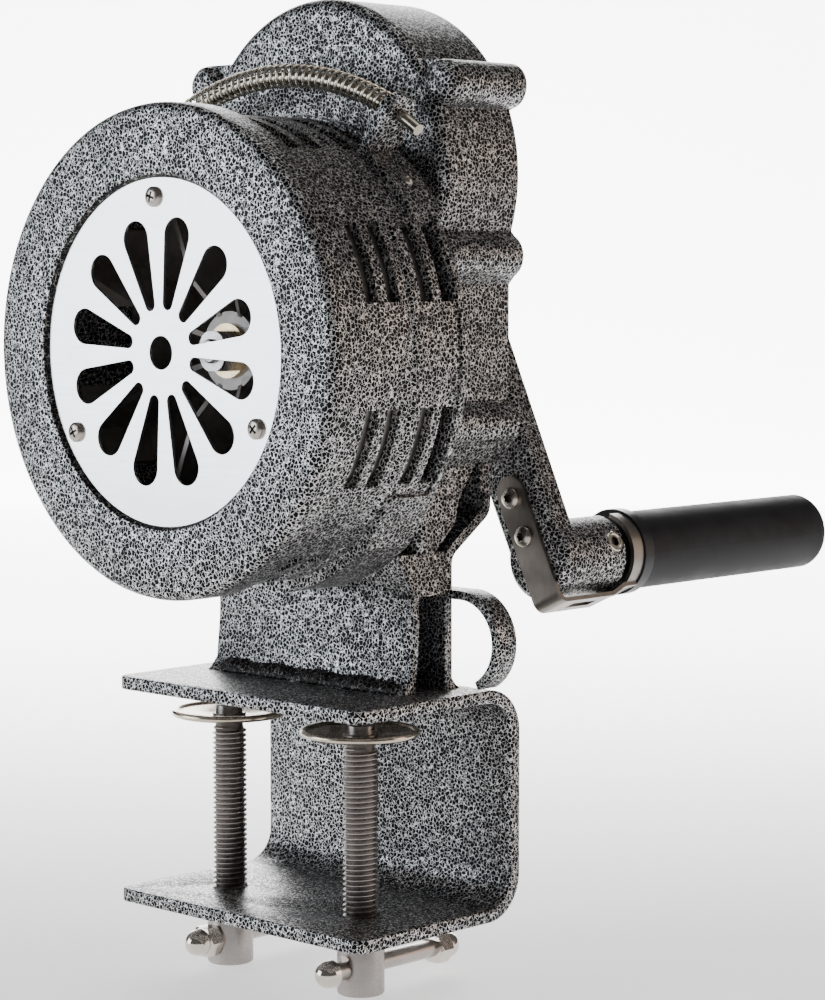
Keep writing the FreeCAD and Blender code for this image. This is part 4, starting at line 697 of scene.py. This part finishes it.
def thread(x, y, low, high, crest, root, pitch, steps=36):
    made = Shape()
    turns = int((high - low) / pitch)
    form = [(0.0, crest), (0.14, crest), (0.5, root), (0.64, root)]
    last = turns * steps
    for i in range(last + steps + 1):
        angle = 2 * math.pi * i / steps
        fade = max(0.0, min(1.0, 2.0 * i / steps, 2.0 * (last - i) / steps))
        for share, radius in form:
            reach = root - 0.25 + (radius - root + 0.25) * fade
            made.points.append((x + reach * math.cos(angle), y + reach * math.sin(angle),
                                min(high, low + pitch * (i / steps + share) - pitch * 0.6)))
    for i in range(last):
        here, after = 4 * i, 4 * (i + 1)
        for k in range(3):
            made.faces.append((here + k, after + k, after + k + 1, here + k + 1))
        made.faces.append((here + 3, after + 3, 4 * (i + 1 + steps), 4 * (i + steps)))
    return made


def clamp_screw(x):
    core = Shape().lathe([
        (0, -96.5), (7.2, -96.5), (7.75, -96.2), (8.0, -95.7), (8.0, -75.6), (7.8, -75.0), (7.3, -74.8),
        (4.75, -74.8), (4.75, -11.3), (4.7, -11.3), (4.7, -9.65), (5.6, -9.65), (5.8, -9.4), (5.8, -8.9),
        (5.5, -8.65), (4.7, -8.65), (4.5, -6.0), (4.1, -5.6), (0, -5.6)], (x, SCREW_Y, 0), (0, 0, 1), 72)
    hole = Shape().lathe([(0, -12), (3.1, -12), (3.1, 12), (0, 12)], (x, SCREW_Y, BAR_Z), (0, 1, 0), 40)
    return together([cut(core, hole), thread(x, SCREW_Y, -75.4, -11.3, 6.0, 4.95, 1.75)])


for side, x in (("left", -SCREW_X), ("right", SCREW_X)):
    piece = put("threaded_clamp_screw_" + side, mesh_of(clamp_screw(x)), "screw_" + side,
                ["clamp_screw_" + side], 24)
    # Painted shade: the faces in the thread's grooves get a dark finish.
    darken(piece, painted_recess_shade,
           lambda p: (p.xy - Vector((x, SCREW_Y))).length < 5.2 and -75 < p.z < -12)
    print(piece.name, "has", len(piece.data.polygons), "faces")

# %% [markdown]
# ## Pin of the folding grip
#
# The grip folds on a pin whose head shows on the crank's side as a bright ring round a hexagon socket.
# The socket's faces get the painted recess shade, a dark finish that stands for the shade in the deep
# socket.

# %% Turn the fold pin
tilt = math.radians(25)
socket_r = 1.9
pin_way = Vector((math.cos(tilt), 0, math.sin(tilt)))
pin_middle = Vector((61.28, 73.75, 46.69))
pin_blank = Shape().lathe([(0, -12.9), (2.6, -12.9), (3.0, -12.5), (3.0, 12.3), (3.7, 12.3), (3.7, 13.05),
                           (3.4, 13.38), (2.7, 13.38), (2.4, 13.1), (0, 13.1)], pin_middle, pin_way, 48)
socket = Shape().prism(hexagon_outline(socket_r), pin_middle, pin_way, (0, 1, 0), 11.9, 14.0)
pin = put("socket_fold_pin", mesh_of(cut(pin_blank, socket)), "crank_body", ["fold_pin"])
darken(pin, painted_recess_shade, lambda p: 11.8 < (p - pin_middle).dot(pin_way) < 13.0
       and ((p - pin_middle) - pin_way * (p - pin_middle).dot(pin_way)).length < 2.0)
print("pin head 7.4 mm across, socket", round(socket_r * math.sqrt(3), 1), "mm across flats")

# %% [markdown]
# ## Swivel pads and acorn nuts
#
# The pads are pressed dishes with a rolled rim, so a smooth lathe profile gives them. An acorn nut is a
# hexagon whose corners are turned off, with a round dome: the hexagon and a turned blank are
# intersected, which is what the chamfering tool does on the real one.

# %% Turn the pads and nuts
def pad_profile():
    """The dish in section, from its bore out along the under side, round the rim, and back."""
    roll = [(18.85 + 1.15 * math.cos(a), -8.35 + 1.15 * math.sin(a))
            for a in (math.radians(-80 + 22 * i) for i in range(11))]
    under = [(4.8, -11.2), (7.6, -11.2), (8.6, -11.1), (10.0, -10.8), (18.2, -9.45)]
    over = [(17.7, -8.1), (9.6, -9.35), (8.4, -9.62), (7.2, -9.7), (4.8, -9.7), (4.8, -11.2)]
    return under + roll + over


def acorn_nut(x, face_y, way):
    bar = Shape().prism(hexagon_outline(5.774), (x, face_y, BAR_Z), (0, way, 0), (0, 0, 1), 0, 5.5)
    blank = Shape().lathe([(0, 0), (5.0, 0), (5.85, 0.5), (5.85, 4.95), (4.95, 5.5), (0, 5.5)],
                          (x, face_y, BAR_Z), (0, way, 0), 72)
    dome = [(4.6, 5.3), (4.6, 6.9)] + [(4.6 * math.cos(a), 6.9 + 4.9 * math.sin(a))
                                       for a in (math.pi / 2 * i / 12 for i in range(1, 12))]
    cap = Shape().lathe([(0, 5.3)] + dome + [(0, 11.8)], (x, face_y, BAR_Z), (0, way, 0), 48)
    return together([cut(bar, blank, "INTERSECT"), cap])


for side, x in (("left", -SCREW_X), ("right", SCREW_X)):
    put("rolled_pad_" + side, mesh_of(Shape().lathe(pad_profile(), (x, SCREW_Y, 0), (0, 0, 1), 96)),
        "pad_" + side, ["swivel_pad_" + side], 50)
    put("domed_nuts_" + side, mesh_of(together([acorn_nut(x, -16.55, -1), acorn_nut(x, 26.45, 1)])),
        "bar_" + side, ["acorn_nuts_" + side])
print("pads 40 mm across, nuts 10 mm across flats")

# %% [markdown]
# ## Handle spring
#
# The carry handle's sleeve is a coil of 1.1 mm wire, squeezed over the bent rod between the lugs. The
# path is a circle that travels along the handle's arc, 33 times round, and a round tube follows it.
# A curve with a bevel could do the same, but the mesh keeps its wire round in the export.

# %% Wind the spring
def wound_spring(arc_r=110.6, mean_r=3.45, turns=33, steps=24):
    arc_middle = Vector((0, -12.25, 98.1))
    swing = math.asin(49.41 / arc_r)
    path = []
    for i in range(turns * steps + 1):
        lean = -swing + 2 * swing * i / (turns * steps)
        turn = 2 * math.pi * i / steps
        out = Vector((math.sin(lean), 0, math.cos(lean)))
        path.append(arc_middle + out * (arc_r + mean_r * math.cos(turn))
                    + Vector((0, mean_r * math.sin(turn), 0)))
    return Shape().tube(path, 0.55, 10)


coil = put("wound_handle_spring", mesh_of(wound_spring()), "base", ["handle_spring"], 60)
print(coil.name, "has", len(coil.data.polygons), "faces")

# %% [markdown]
# ## The CAD box
#
# The box that the CAD solids fill is printed. The visual model has to stay inside the
# CAD box.

# %% Print the CAD box
print("CAD box", [list(map(lambda n: round(n, 4), v)) for v in cad_box])
